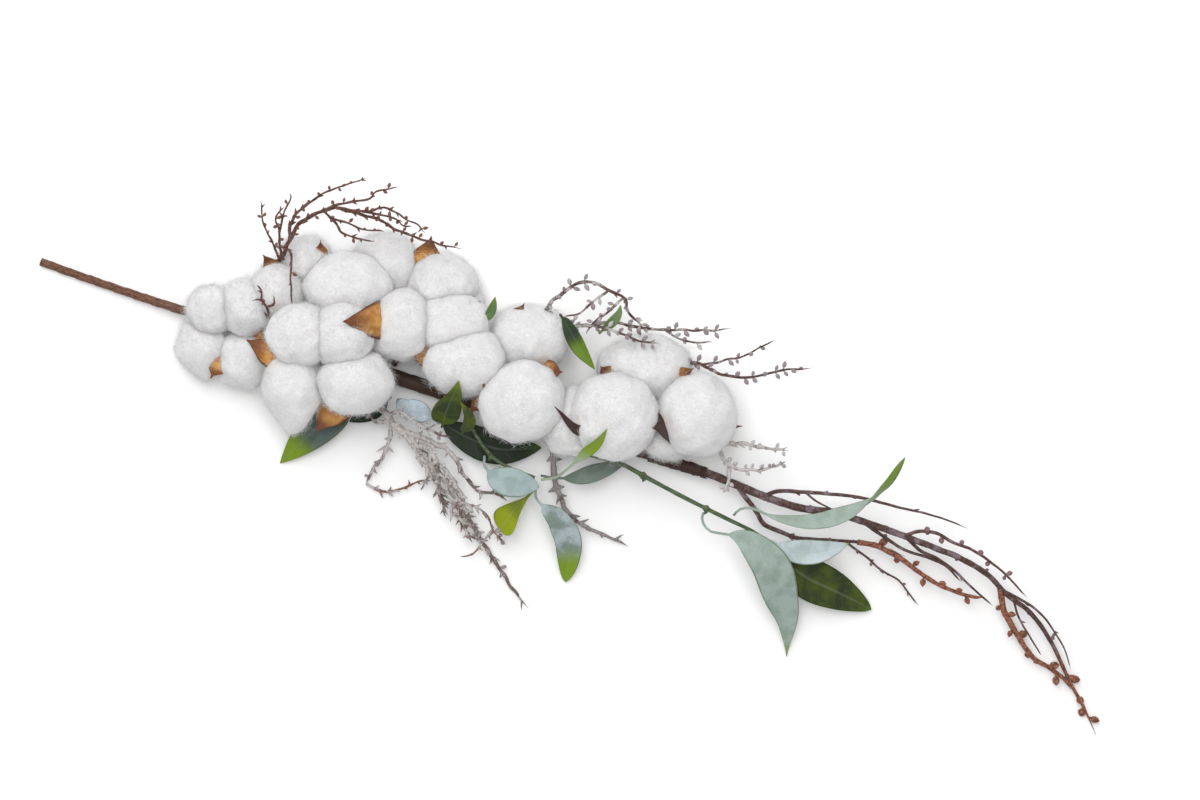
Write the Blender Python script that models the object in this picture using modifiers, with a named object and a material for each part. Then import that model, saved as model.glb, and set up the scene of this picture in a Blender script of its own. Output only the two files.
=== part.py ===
"""A cotton stem bunch lying on a flat surface: six open bolls, leaves and budded twigs on one taped stem.

Routes, centres and radii are in millimetres: x runs along the stem from its cut end to the
drooping tail, y across it, and z up from the surface. Meshes are in metres.
"""

import math

import bmesh
import bpy
from mathutils import Matrix, Vector

MM = 0.001
BUNCH = "cotton_stem_bunch"
GAP = 0.3  # clear space between touching pieces
CLEARANCE = 0.5  # how far a neighbour is swollen before it is cut out of a cotton lock
WELD = 1e-6
UP = Vector((0.0, 0.0, 1.0))

STEM_ROUTE = [
    (-244, 0, 1.9), (-226, -0.6, 2.4), (-208, -1, 3.2), (-182, -1, 5.4), (-160, -0.6, 7.4),
    (-120, 0, 8), (-83, 0, 8), (-60, 0, 8), (-20, 0.5, 8.2), (20, 1.4, 9.4), (44, 2, 10.6),
]
STEM_RADII = [1.7, 1.75, 1.9, 2.3, 3.0, 3.2, 3.2, 3.1, 2.9, 2.1, 1.75]
STEM_END = STEM_ROUTE[-1]

TAPE_ROUTE = [(27, 1.62, 9.75), (36, 1.8, 10.2), (44.2, 2, 10.6), (52, 2, 11.2)]
TAPE_INNER = 2.2
TAPE_OUTER = 2.8
TAPE_OVERRUN = 2.0

# Each twig is a list of canes (radius at base, radius at tip, route). A cane after the
# first grows out of the nearest point of the canes before it.
TWIGS = {
    "arch_twig": [
        (1.1, 0.4, [(-152, 5.5, 5), (-152, 16, 3), (-149.5, 26, 7), (-146.5, 31.5, 20), (-144.5, 38.5, 31),
                    (-143, 45.5, 36), (-140.5, 51, 39), (-134, 57, 41), (-128.5, 60, 42),
                    (-119.5, 60, 41), (-111.5, 60.5, 40), (-102, 58.5, 38), (-90, 58.5, 36),
                    (-82.5, 58.5, 35), (-73, 60, 34)]),
        (0.5, 0.3, [(-146.5, 31.5, 20), (-150.5, 37.5, 27), (-154.5, 41.5, 30), (-158, 46.5, 33),
                    (-160.5, 53, 35)]),
        (0.6, 0.3, [(-146, 33.5, 24), (-148.5, 39.5, 30), (-149.5, 44, 34), (-152, 46.5, 36),
                    (-152, 49.5, 38), (-150, 53.5, 40)]),
        (0.5, 0.3, [(-149.5, 42.5, 33), (-149.5, 51, 38), (-148.5, 57.5, 41), (-149.5, 59.5, 42)]),
        (0.7, 0.3, [(-144.5, 39.5, 32), (-145, 49.5, 39), (-142, 55.5, 44), (-135, 64.5, 48),
                    (-129.5, 68.5, 51), (-120, 75, 55)]),
        (0.6, 0.3, [(-134, 57, 41), (-129.5, 60.5, 45), (-124, 63.5, 48), (-116.5, 67.5, 50),
                    (-114.5, 71, 51), (-106.5, 75.5, 53)]),
        (0.6, 0.3, [(-128, 60.5, 42), (-117.5, 61.5, 45), (-112.5, 64.5, 47), (-107, 66, 47),
                    (-101, 64.5, 46), (-94.5, 63.5, 45), (-90.5, 61, 44)]),
        (0.5, 0.3, [(-118.5, 61, 45), (-111.5, 62.5, 44), (-104.5, 63, 43), (-101, 61, 42),
                    (-97, 62, 41)]),
        (0.6, 0.3, [(-134, 57, 41), (-128.5, 54, 38), (-124.5, 51, 36), (-117.5, 50.5, 35),
                    (-110, 51.5, 34)]),
        (0.5, 0.3, [(-130, 55, 39), (-126, 55, 37), (-115, 55, 35), (-107.5, 56.5, 34)]),
        (0.5, 0.3, [(-145, 41, 26), (-142, 36, 33), (-139, 27, 35.5), (-134, 14, 34)]),
        (0.7, 0.4, [(-152, 5.5, 5), (-148, 6, 18), (-143.5, 8, 29), (-144.5, 11.5, 33.5),
                    (-147.5, 13.5, 35), (-151, 12, 33.5)]),
        (0.5, 0.3, [(-144.5, 11.5, 33.5), (-142, 13.5, 36), (-143, 17, 37)]),
        (0.5, 0.3, [(-147.5, 13.5, 35), (-148.5, 17, 36.5), (-151, 19, 36)]),
    ],
    "crown_twig": [
        (1.1, 0.5, [(-41, 6, 4.5), (-39, 18, 3), (-36, 32, 4), (-34, 43, 15), (-32, 50, 26),
                    (-26, 59, 32), (-20, 63, 34), (-9, 62, 34), (-3, 61, 33), (0, 56, 31),
                    (10, 51, 28)]),
        (0.6, 0.3, [(-11, 62.5, 34), (-15, 56, 34), (-19, 50, 32), (-25, 46, 30)]),
        (0.6, 0.3, [(-4, 61, 33), (-8, 54, 33), (-12, 48, 31), (-14, 42, 29)]),
        (0.8, 0.4, [(-34, 42, 14), (-27, 43, 17), (-20, 44, 19), (-12, 47, 21), (-4, 50.5, 22),
                    (8, 52, 24), (21, 55, 27), (33, 59, 28), (43, 63, 27)]),
        (0.5, 0.3, [(17, 54, 26), (26, 52, 29), (37, 55, 29)]),
        (0.7, 0.4, [(-27, 43, 17), (-21.5, 43, 25), (-12, 46, 29), (-2, 47, 31), (8, 46, 31.5),
                    (17, 47.5, 31.5)]),
    ],
    "side_twig": [
        (0.9, 0.4, [(20, 7.5, 6.5), (24, 20, 3), (28, 34, 5), (31, 43, 15), (35, 45, 22), (45, 43.5, 27),
                    (57, 46, 28), (69, 53, 28), (81, 58, 26)]),
        (0.5, 0.3, [(36, 45, 23), (46, 50, 24), (53, 55, 26), (62, 64, 29)]),
    ],
    "cascade_twig": [
        (1.7, 0.5, [(-99, -6.5, 8), (-88.5, -13.5, 12), (-80, -19, 14), (-71.5, -22.5, 14),
                     (-60.5, -29.5, 12), (-51, -35.5, 10.5), (-44, -41.5, 9), (-36.5, -48, 7.5),
                     (-29.5, -55, 6), (-22, -61, 4.5), (-13, -68, 3), (-5.5, -73, 2), (-1.5, -76, 1.6)]),
        (0.9, 0.5, [(-81.5, -18.5, 14), (-79.5, -27, 9), (-80.5, -34, 6), (-83, -40.5, 4),
                    (-83.5, -47, 2.5)]),
        (0.6, 0.35, [(-83.5, -47, 2.5), (-75, -48, 2), (-68.5, -44.5, 2.5), (-63, -39.5, 4),
                     (-57.5, -37, 5)]),
        (0.8, 0.4, [(-83, -16.5, 14), (-79, -13.5, 19), (-73, -15, 21), (-66.5, -16.5, 20.5),
                    (-60.5, -17.5, 19), (-54.5, -17, 18)]),
        (1.2, 0.5, [(-75.5, -21, 14), (-67.5, -21, 14), (-59, -21.5, 14), (-53, -23.5, 14),
                    (-48, -27, 13), (-44, -31.5, 11), (-37.5, -34.5, 9), (-32, -34.5, 8),
                    (-25.5, -33.5, 7)]),
        (1.2, 0.6, [(-68, -24, 14), (-63.5, -24.5, 17), (-57.5, -28, 17), (-55, -34.5, 15),
                    (-52, -41, 12), (-47, -44.5, 10)]),
        (0.7, 0.4, [(-45, -41.5, 9), (-45.5, -46.5, 11), (-41, -48, 12), (-36.5, -52, 11),
                    (-33, -56.5, 9)]),
        (0.6, 0.35, [(-47.5, -39, 10), (-41.5, -42, 13), (-36, -42, 14), (-30.5, -44, 12),
                     (-25, -49.5, 10), (-19, -53, 8)]),
        (0.5, 0.3, [(-26.5, -48, 10.5), (-27.5, -52, 8), (-29, -56.5, 7.5), (-31.5, -61, 6),
                    (-36, -64, 5)]),
        (0.7, 0.4, [(-82.5, -18, 13), (-86, -21, 11.5), (-90, -19, 11), (-94, -16, 11)]),
        (0.6, 0.35, [(-55, -32.5, 11), (-59, -36.5, 8), (-60.5, -42.5, 6)]),
        (0.9, 0.5, [(-60.5, -29.5, 12), (-55, -30, 15), (-49.5, -33, 14.5), (-43.5, -38.5, 12.5),
                    (-39, -45.5, 11), (-33, -50.5, 9), (-28.5, -57.5, 7)]),
        (0.9, 0.45, [(-71.5, -22.5, 14), (-66.5, -28, 12.5), (-61, -33, 11), (-55.5, -38, 10),
                     (-50, -43.5, 9), (-46.5, -50, 8)]),
        (0.7, 0.4, [(-51, -35.5, 10.5), (-48.5, -40, 13), (-42, -45.5, 12.5), (-38, -52, 10),
                    (-30.5, -55.5, 8)]),
    ],
    "low_twig": [
        (1.4, 0.5, [(-16, -6, 8), (-12.5, -8.5, 9.5), (-10, -15, 10), (-7.5, -21.5, 10), (-3.5, -26, 9),
                    (1, -31.5, 8), (7, -34.5, 7), (14, -36, 5.5), (22, -36.5, 3.5), (30.5, -38, 1.6)]),
    ],
    "under_twig": [
        (1.2, 0.5, [(36, 8, 8), (44, 11, 10), (52, 14, 16), (58, 17.5, 22), (70, 20, 24), (82, 21.5, 22)]),
        (0.9, 0.45, [(53, 14.5, 17), (59, 8.5, 21), (67, 8.5, 24), (76, 12, 25), (82, 17, 27)]),
        (0.9, 0.6, [(60, 8.5, 21.5), (61.5, 3, 23), (61.5, -3.5, 24)]),
    ],
    "tail_twig": [
        (1.8, 0.6, [(44.5, 2, 10.65), (54, 2, 11.4), (63, 1.5, 13.2), (75, 0.5, 15.5), (87, 0, 17),
                    (95.5, 0.5, 18), (109.5, 3, 19), (118.5, 3, 20), (130, 3, 20), (141, 2.5, 20),
                    (152.5, 2, 19), (165, 1, 18), (178, -2, 16.5), (188.5, -7.5, 14.5), (199, -11, 12),
                    (208, -16.5, 10), (215.5, -23, 8), (222, -30, 6), (229.5, -37.5, 3.5),
                    (236.5, -44, 2), (244.5, -53, 0.9)]),
        (0.9, 0.3, [(78, 0.5, 16), (84, 4.5, 19), (95, 7.5, 22), (107, 10.5, 24), (118, 12.5, 25),
                    (126.5, 13, 25.5), (135, 13.5, 25), (145.5, 14.5, 24), (155.5, 14.5, 23),
                    (164, 14, 22)]),
        (0.5, 0.3, [(94, 7.5, 22), (100, 5, 21.5), (107, 4, 22)]),
        (1.1, 0.45, [(66, 1, 14), (72.5, -3.5, 13), (78, -7.5, 12), (82.5, -11, 11.5), (91, -12, 11),
                     (98.5, -12, 11), (113.5, -8, 12), (124.5, -5.5, 12.5), (133, -5, 12.5),
                     (143, -5.5, 12)]),
        (0.55, 0.3, [(116.5, -7.5, 12), (128, -11, 10), (136.5, -14.5, 8), (143.5, -16, 6),
                     (149, -19.5, 4), (155.5, -23.5, 2)]),
        (1.2, 0.7, [(122, -6, 12.5), (130.5, -5, 14.5), (139.5, -6.5, 14.5), (147.5, -9, 13),
                     (157.5, -12, 12), (167, -13, 11), (176, -13, 10), (180.5, -11.5, 9.5)]),
        (0.8, 0.35, [(139, 2.5, 20), (145, 6.5, 22), (152, 8, 23), (159.5, 6.5, 23), (167.5, 6, 22),
                     (175.5, 4, 21), (184, 1, 19), (191.5, -3, 16), (197, -6, 14)]),
        (0.8, 0.35, [(140, 2.5, 20), (148, -1, 17), (157.5, -2.5, 15), (166, -5.5, 13),
                     (175.5, -10, 11), (185, -14, 9)]),
        (0.6, 0.25, [(186, -5.5, 15.5), (196, -8, 15), (204.5, -10.5, 13), (212.5, -16, 11),
                     (219, -21.5, 9), (225, -29.5, 7)]),
        (1.4, 0.8, [(185.5, -5.5, 15), (189, -13, 12), (194, -18.5, 10), (200.5, -24, 8),
                    (208, -29.5, 6.5), (215.5, -31.5, 5.5), (223.5, -34, 5), (228, -37.5, 4)]),
        (0.5, 0.3, [(191.5, -9, 13.5), (197.5, -16, 11), (204, -21.5, 9.5), (211, -27.5, 8)]),
        (0.8, 0.4, [(120, 3, 20), (132.5, -0.5, 17), (142, -3, 16), (151, -3, 16), (160, -4, 15),
                    (169, -8.5, 14)]),
    ],
}

LEAF_STEMS = {
    "leaf_stem_end": (1.05, 0.8, [(-14, -5.5, 12.5), (-4, -6, 14), (8, -5.5, 16), (18, -5.5, 19),
                                  (29, -7.5, 21), (46, -10.5, 22), (66, -13.5, 22), (77, -15, 21),
                                  (84, -17, 20)]),
    "leaf_stem_mid": (0.9, 0.6, [(-52, -6, 13), (-46, -12, 15), (-38, -18, 17), (-30, -21, 19),
                                 (-16, -22, 20)]),
}

# name: (greatest width, share of the length that is bare stalk, belly, point, rolls from base to
#        tip, depth of the fold across the midrib, route of the midrib). A larger belly moves the
#        widest place towards the tip, and a larger point makes both ends more slender.
LEAVES = {
    "leaf_end_long": (7.5, 0.2, 1.0, 0.65, (0, 0, 0, -10, -55, -135, -165), 0.9, [
        (68.5, -11, 23.3), (70, -8, 27), (74.5, -6, 30), (86, -6.5, 32), (100, -3.5, 34),
        (112, 3.5, 36), (119.5, 11, 38), (125, 21, 42), (128, 34, 45)]),
    "leaf_end_broad": (16.5, 0.2, 0.75, 1.1, (10, 0, -5, -15), 1.6, [
        (56, -14.2, 22), (56.5, -17.5, 24), (60.5, -20.5, 26), (66, -20, 27), (74.5, -19, 27.5),
        (83.5, -22.5, 27), (91, -28, 24), (98, -37.5, 17), (104, -46.5, 10), (109, -61.5, 2)]),
    "leaf_end_small": (11, 0.08, 0.8, 0.8, (0, 25), 0.8, [
        (87, -16.5, 20.7), (95, -18, 23), (104.5, -15.5, 25), (112, -11.5, 26), (118, -7.5, 26)]),
    "leaf_end_dark": (18, 0.15, 0.7, 0.65, (-10, 5), 1.4, [
        (86, -19.2, 18.3), (95.5, -23.5, 16.5), (107, -27, 13), (118.5, -28.5, 9), (128.5, -30, 5),
        (137, -31.5, 3)]),
    "leaf_mid_pale": (12.5, 0.25, 0.9, 0.7, (0, 0), 1.2, [
        (-39, -20, 18.5), (-37, -24.5, 21.5), (-30, -27, 24), (-22, -26.5, 25), (-13, -25, 22.8)]),
    "leaf_mid_folded": (13, 0.06, 3.2, 0.55, (10, 20, 30), 1.0, [
        (-13.8, -25.2, 19.3), (-17, -32, 18), (-20.5, -39, 15), (-23.5, -48, 10)]),
    "leaf_mid_hanging": (11.5, 0.2, 0.9, 0.6, (0, -10), 1.6, [
        (-14.5, -24.5, 16.3), (-13, -30, 15.5), (-8, -33, 16), (-1.5, -36, 15), (5, -42.5, 11),
        (8, -50.5, 6.5), (10, -60.5, 2)]),
    "leaf_mid_raised": (5.5, 0.4, 1.3, 0.8, (20, 20, 50), 0.6, [
        (-13, -22, 20.5), (-7.5, -19, 24), (-4, -14, 30), (0, -7, 37), (4, 0, 43), (6.5, 7, 47)]),
    "leaf_mid_grey": (7.5, 0.25, 0.9, 0.8, (10, -10), 0.7, [
        (-13.8, -20.5, 18), (-7.5, -19.5, 16.5), (1, -16.5, 14.5), (9.5, -11, 12.5), (18.5, -4.5, 11)]),
    "leaf_low_green": (12, 0.08, 0.55, 0.9, (0, 30), 1.5, [
        (-60, -14, 14), (-60, -7, 23), (-59, 0, 33), (-58.5, 7, 42)]),
    "leaf_low_bud": (6, 0.08, 0.7, 0.8, (20, 40), 0.6, [
        (-51, -14, 18), (-49.5, -9.5, 27), (-51, -5.5, 34), (-55, -1.5, 41)]),
    "leaf_low_pale": (9.5, 0.2, 0.9, 0.6, (0, 15), 1.0, [
        (-61.5, -13, 13), (-65.5, -11.5, 14), (-71, -11, 15), (-77, -11, 16), (-81.5, -8.5, 16)]),
    "leaf_low_dark": (14, 0.05, 0.9, 0.7, (0, 0), 1.3, [
        (-62.5, -11.5, 9), (-51, -14.5, 8), (-34.5, -15.5, 6.5), (-17.5, -9.5, 5)]),
    "leaf_under_broad": (17, 0.05, 0.6, 0.8, (0, 15), 1.2, [
        (-101, -13.5, 6), (-108, -26, 7), (-115, -39, 4.5), (-121, -50, 1)]),
    "leaf_under_dark": (9, 0.1, 0.8, 0.8, (0, 0), 0.8, [
        (-84.5, -8.5, 6), (-90, -15.5, 7.5), (-98, -24, 9.5)]),
    "leaf_top_green": (7.5, 0.08, 0.8, 0.8, (40, 20), 0.7, [
        (-27, 46.5, 23), (-21, 41.5, 31), (-14, 35, 33), (-6, 29, 34)]),
    "leaf_top_light": (5, 0.1, 0.8, 0.8, (30, 30), 0.5, [
        (-9, 44, 24.8), (-6, 49, 28), (-4, 54, 30.5), (-4, 58, 31)]),
    "leaf_top_tip": (4, 0.1, 0.8, 0.8, (0, 30), 0.4, [
        (-57, 33, 27), (-55, 38, 29), (-55, 45, 32)]),
}
LEAF_THICKNESS = 0.5
LEAF_STALK_WIDTH = 1.2
LEAF_TIP_WIDTH = 0.7
LEAF_STEPS = 8

# boll: (cup centre, radius of the cup, stalk end beside the stem,
#        [(width of a valve, roll about its midrib, middle, tip)])
HUSKS = {
    "husk_1": ((-158, -5.5, 16.5), 3.4, (-164, -5.5, 12.5), [
        (9, 0, (-168.5, -12, 15.5), (-176.5, -16, 15)),
        (13, 0, (-157, -14.5, 20.5), (-158.5, -23, 19.5)),
        (9, 0, (-149, -3, 18), (-142, 1.5, 27)),
        (7, 0, (-159, 4.5, 18), (-159, 11.5, 24)),
    ]),
    "husk_2": ((-126, 29, 11), 3.6, (-136, 4.6, 6), [
        (10, 0, (-143.5, 25.5, 19), (-152, 31, 30)),
        (6, 0, (-129.5, 36.5, 16), (-132, 44, 25)),
        (8, 0, (-117, 34.5, 18), (-112, 38, 30)),
        (7, 0, (-126.5, 21.5, 14), (-127, 18, 24)),
    ]),
    "husk_3": ((-114, -2, 19), 3.8, (-108, -1, 12), [
        (15, 0, (-131.5, -6.5, 33), (-146.5, -4.5, 36)),
        (17, 0, (-105, -14, 20), (-109, -30.5, 20)),
        (9, 0, (-102, 3, 24), (-93, 6, 32)),
        (8, 0, (-117.5, 6.5, 26), (-119, 12, 36)),
    ]),
    "husk_4": ((-78, 31, 11), 3.8, (-88, 4.6, 6), [
        (17, 0, (-99, 20, 41), (-110, 16, 49.5)),
        (15, 0, (-86.5, 43.5, 17), (-88.5, 59.5, 23)),
        (8, 0, (-67, 37.5, 14), (-61, 41, 24)),
        (8, 0, (-77, 23, 16), (-77, 20, 25)),
    ]),
    "husk_5": ((-45, 18, 11.5), 4.0, (-49, 4.6, 7), [
        (12, 0, (-70.5, 12.5, 25), (-82.5, 14.5, 33)),
        (7, 0, (-46.5, 12.5, 24), (-48, 8, 36)),
        (11, 0, (-30.5, 21, 19), (-19.5, 23.5, 35)),
        (9, 0, (-46, 33, 17), (-43, 45, 26)),
        (8, 0, (-48, 3.5, 18), (-50, -4, 22)),
    ]),
    "husk_6": ((16, 19, 11), 4.4, (5, 5.6, 7), [
        (6, 150, (-2.5, 3.5, 35), (-16, 8.5, 39)),
        (8, 180, (26, 15.5, 36), (32.5, 10, 41.5)),
        (8, 0, (24.5, 33, 18), (32.5, 41.5, 33)),
        (9, 0, (4, 26.5, 18), (-3.5, 30.5, 33)),
        (8, 0, (43.5, 19.5, 14), (59, 25, 21)),
    ]),
}
CUP_FLATNESS = 0.75
STALK_RADIUS = 1.5
VALVE_THICKNESS = 0.8
VALVE_OUTLINE = (0.45, 0.8, 1.0, 1.0, 0.75, 0.1)  # width from cup to tip, as shares of the greatest
VALVE_STEPS = len(VALVE_OUTLINE) - 1
VALVE_CUP = 0.16  # sideways curl of a valve, as a share of its width

# name: (centre, radii, heading of the first radius in degrees)
LOCKS = {
    "boll_1_lock_1": ((-167, 3, 19), (10.5, 10, 10.5), 18),
    "boll_1_lock_2": ((-153, 9, 20), (12, 12, 12), 18),
    "boll_1_lock_3": ((-166, -13, 12), (11.5, 12.5, 12), 18),
    "boll_1_lock_4": ((-148, -12, 13), (12.5, 12.5, 13), 18),
    "boll_2_lock_1": ((-143, 18.5, 21), (11.5, 12, 12.5), 18),
    "boll_2_lock_2": ((-136, 34, 13), (11, 11, 13), 18),
    "boll_2_lock_3": ((-115, 29, 23), (20, 15.5, 16), 18),
    "boll_2_lock_4": ((-104, 44, 13), (14.5, 13, 13), 18),
    "boll_3_lock_1": ((-127.5, 4.5, 33.5), (14, 13.5, 13), 18),
    "boll_3_lock_2": ((-111, 10, 34), (13.8, 13.8, 13.5), 18),
    "boll_3_lock_3": ((-124, -17, 26), (18, 13, 14), -72),
    "boll_3_lock_4": ((-100, -7, 31), (16, 13.5, 14.5), 18),
    "boll_4_lock_1": ((-79, 43, 14), (15.5, 13.5, 14), 18),
    "boll_4_lock_2": ((-90, 22, 25), (14.5, 15, 15), 18),
    "boll_4_lock_3": ((-69, 28, 22), (16.5, 13.5, 14), 18),
    "boll_4_lock_4": ((-72, 36, 9), (13, 12, 9), 18),
    "boll_5_lock_1": ((-58, 15, 25), (18.5, 14, 15), 18),
    "boll_5_lock_2": ((-37, 33, 15), (18, 14, 15), 18),
    "boll_5_lock_3": ((-31, 7, 28), (18.5, 17, 16.5), 18),
    "boll_5_lock_4": ((-52, 27, 10), (13, 12, 10), 18),
    "boll_6_lock_1": ((14, 36, 15), (20, 14, 15), 18),
    "boll_6_lock_2": ((8, 13, 27), (19.5, 18, 17), 18),
    "boll_6_lock_3": ((40, 24, 24), (17, 17.5, 17.5), 18),
    "boll_6_lock_4": ((-9, 5, 21), (13, 14, 12), 18),
    "boll_6_lock_5": ((32.5, 9.5, 20), (9.5, 7, 9), 18),
}
LOCK_SEGMENTS = 11
LOCK_RINGS = 7

# name: (colour, roughness)
FINISHES = {
    "tape": ((0.17, 0.085, 0.05), 0.6),
    "twig": ((0.10, 0.065, 0.055), 0.7),
    "husk": ((0.35, 0.16, 0.06), 0.6),
    "cotton": ((0.9, 0.9, 0.89), 0.95),
    "leaf": ((0.10, 0.18, 0.08), 0.5),
    "leaf_stem": ((0.12, 0.16, 0.08), 0.5),
}


def clear_scene():
    for obj in list(bpy.data.objects):
        bpy.data.objects.remove(obj, do_unlink=True)


def new_collection(name, hidden=False):
    collection = bpy.data.collections.new(name)
    collection.hide_render = hidden
    bpy.context.scene.collection.children.link(collection)
    return collection


def new_material(name, colour, roughness):
    material = bpy.data.materials.new(name)
    material.use_nodes = True
    shader = material.node_tree.nodes["Principled BSDF"]
    shader.inputs["Base Color"].default_value = (*colour, 1.0)
    shader.inputs["Roughness"].default_value = roughness
    shader.inputs["Metallic"].default_value = 0.0
    return material


def in_metres(point):
    return Vector(point) * MM


def new_object(name, mesh, collection):
    obj = bpy.data.objects.new(name, mesh)
    collection.objects.link(obj)
    return obj


def evaluated_mesh(obj):
    bpy.context.view_layer.update()
    graph = bpy.context.evaluated_depsgraph_get()
    return bpy.data.meshes.new_from_object(obj.evaluated_get(graph), depsgraph=graph)


def smooth_route(points, steps):
    """Points on a smooth curve through a route, with a number of steps between neighbours."""
    points = [Vector(point) for point in points]
    ends = [2 * points[0] - points[1], *points, 2 * points[-1] - points[-2]]
    route = []
    for before, start, end, after in zip(ends, ends[1:], ends[2:], ends[3:]):
        for step in range(steps):
            t = step / steps
            route.append(
                0.5 * (2 * start + (end - before) * t
                       + (2 * before - 5 * start + 4 * end - after) * t**2
                       + (3 * start - before - 3 * end + after) * t**3)
            )
    return [*route, points[-1]]


def spread(values, count):
    """A list of values stretched over a number of points, by straight lines."""
    stretched = []
    for index in range(count):
        place = index * (len(values) - 1) / (count - 1)
        low = min(int(place), len(values) - 2)
        stretched.append(values[low] + (values[low + 1] - values[low]) * (place - low))
    return stretched


def tube(name, route, radii, collection, resolution=1):
    """A closed tube along a route, as a mesh object."""
    curve = bpy.data.curves.new(name, "CURVE")
    curve.dimensions = "3D"
    curve.bevel_depth = MM
    curve.bevel_resolution = resolution
    curve.use_fill_caps = True
    spline = curve.splines.new("POLY")
    spline.points.add(len(route) - 1)
    for point, place, radius in zip(spline.points, route, spread(radii, len(route))):
        point.co = (*in_metres(place), 1.0)
        point.radius = radius
    guide = new_object(name, curve, collection)
    mesh = evaluated_mesh(guide)
    bpy.data.objects.remove(guide, do_unlink=True)
    weld(mesh)
    mesh.name = name
    return new_object(name, mesh, collection)


def stretched(route, extra):
    """A route with both its ends pushed outwards."""
    first = route[0] + (route[0] - route[1]).normalized() * extra
    last = route[-1] + (route[-1] - route[-2]).normalized() * extra
    return [first, *route[1:-1], last]


def tube_with_room(name, route, radii, parts, cutters, resolution=1):
    """A tube, and the wider one that cuts room for it in the cotton."""
    wide = [radius + CLEARANCE for radius in radii]
    tube(name + "_room", stretched(route, CLEARANCE), wide, cutters, resolution)
    return tube(name, route, radii, parts, resolution)


def weld(mesh):
    shape = bmesh.new()
    shape.from_mesh(mesh)
    bmesh.ops.remove_doubles(shape, verts=shape.verts, dist=WELD)
    bmesh.ops.recalc_face_normals(shape, faces=shape.faces)
    shape.to_mesh(mesh)
    shape.free()


def combine(obj, others, operation, solver="EXACT"):
    """Joins the others to the object, or cuts them out of it, and keeps the result as its mesh."""
    for other in others:
        boolean = obj.modifiers.new(other.name, "BOOLEAN")
        boolean.operation = operation
        boolean.solver = solver
        boolean.object = other
    mesh = evaluated_mesh(obj)
    obj.modifiers.clear()
    obj.data = mesh


def remove_objects(objects):
    for obj in objects:
        bpy.data.objects.remove(obj, do_unlink=True)


def finish(obj, material):
    """Gives a finished piece its material, smooth shading and its own mesh name."""
    obj.data.materials.clear()
    obj.data.materials.append(material)
    obj.data.name = obj.name
    obj.data.shade_smooth()
    obj.data.set_sharp_from_angle(angle=math.radians(40))


def make_stem(parts, cutters, materials):
    route = smooth_route(STEM_ROUTE, 2)
    stem = tube_with_room("main_stem", route, STEM_RADII, parts, cutters, resolution=2)
    finish(stem, materials["tape"])


def make_stem_tape(parts, cutters, materials):
    """A sleeve of wound tape over the end of the stem and the base of the tail."""
    route = smooth_route(TAPE_ROUTE, 2)
    radii = [TAPE_OUTER, TAPE_OUTER]
    tape = tube_with_room("stem_tape", route, radii, parts, cutters, resolution=2)
    bore_route = stretched(route, TAPE_OVERRUN)
    bore = tube("stem_tape_bore", bore_route, [TAPE_INNER, TAPE_INNER], parts, resolution=2)
    combine(tape, [bore], "DIFFERENCE")
    weld(tape.data)
    remove_objects([bore])
    finish(tape, materials["tape"])


def nearest_point(point, places):
    return min(places, key=lambda place: (place - Vector(point)).length)


def make_twig(name, canes, parts, cutters, materials):
    """A twig with its side canes, joined in one solid."""
    places = []
    pieces = []
    for index, (base, tip, points) in enumerate(canes):
        if places:
            points = [nearest_point(points[0], places), *points[1:]]
        pieces.append(tube_with_room(f"{name}_{index}", smooth_route(points, 1), [base, tip], parts, cutters))
        places += smooth_route(points, 8)
    twig = pieces[0]
    combine(twig, pieces[1:], "UNION")
    weld(twig.data)
    remove_objects(pieces[1:])
    twig.name = name
    finish(twig, materials["twig"])


def make_leaf_stem(name, spec, parts, cutters, materials):
    base, tip, points = spec
    stem = tube_with_room(name, smooth_route(points, 2), [base, tip], parts, cutters)
    finish(stem, materials["leaf_stem"])


def sheet(name, route, half_widths, rolls, fold, collection):
    """An open strip along a route: a grid two faces wide, laid across the route and rolled about it."""
    shape = bmesh.new()
    rows = len(route)
    bmesh.ops.create_grid(shape, x_segments=rows - 1, y_segments=2, size=1.0)
    for vertex in shape.verts:
        row = round((vertex.co.x + 1) / 2 * (rows - 1))
        side = vertex.co.y
        tangent = route[min(row + 1, rows - 1)] - route[max(row - 1, 0)]
        level = tangent.cross(UP).normalized()
        roll = Matrix.Rotation(math.radians(rolls[row]), 3, tangent.normalized())
        sideways = roll @ level
        outward = sideways.cross(tangent).normalized()
        place = route[row] + sideways * side * half_widths[row] + outward * fold[row] * abs(side)
        vertex.co = in_metres(place)
    bmesh.ops.recalc_face_normals(shape, faces=shape.faces)
    mesh = bpy.data.meshes.new(name)
    shape.to_mesh(mesh)
    shape.free()
    return new_object(name, mesh, collection)


def plate_with_room(name, route, half_widths, rolls, fold, thickness, parts, cutters):
    """A thin bent plate, and the fatter one that cuts room for it in the cotton."""
    wide = [half + CLEARANCE for half in half_widths]
    room = sheet(name + "_room", stretched(route, CLEARANCE), wide, rolls, fold, cutters)
    thicken(room, thickness + 2 * CLEARANCE)
    plate = sheet(name, route, half_widths, rolls, fold, parts)
    thicken(plate, thickness)
    return plate


def thicken(obj, thickness):
    solidify = obj.modifiers.new("thickness", "SOLIDIFY")
    solidify.thickness = thickness * MM
    solidify.offset = 0.0
    solidify.use_even_offset = False
    obj.data = evaluated_mesh(obj)
    obj.modifiers.clear()


def blade_share(share, stalk, belly, point):
    """Half-width of a leaf at a share of its length, as a share of the greatest half-width."""
    if share <= stalk:
        return 0.0
    along = (share - stalk) / (1 - stalk)
    return math.sin(math.pi * along**belly) ** point if along < 1 else 0.0


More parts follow.
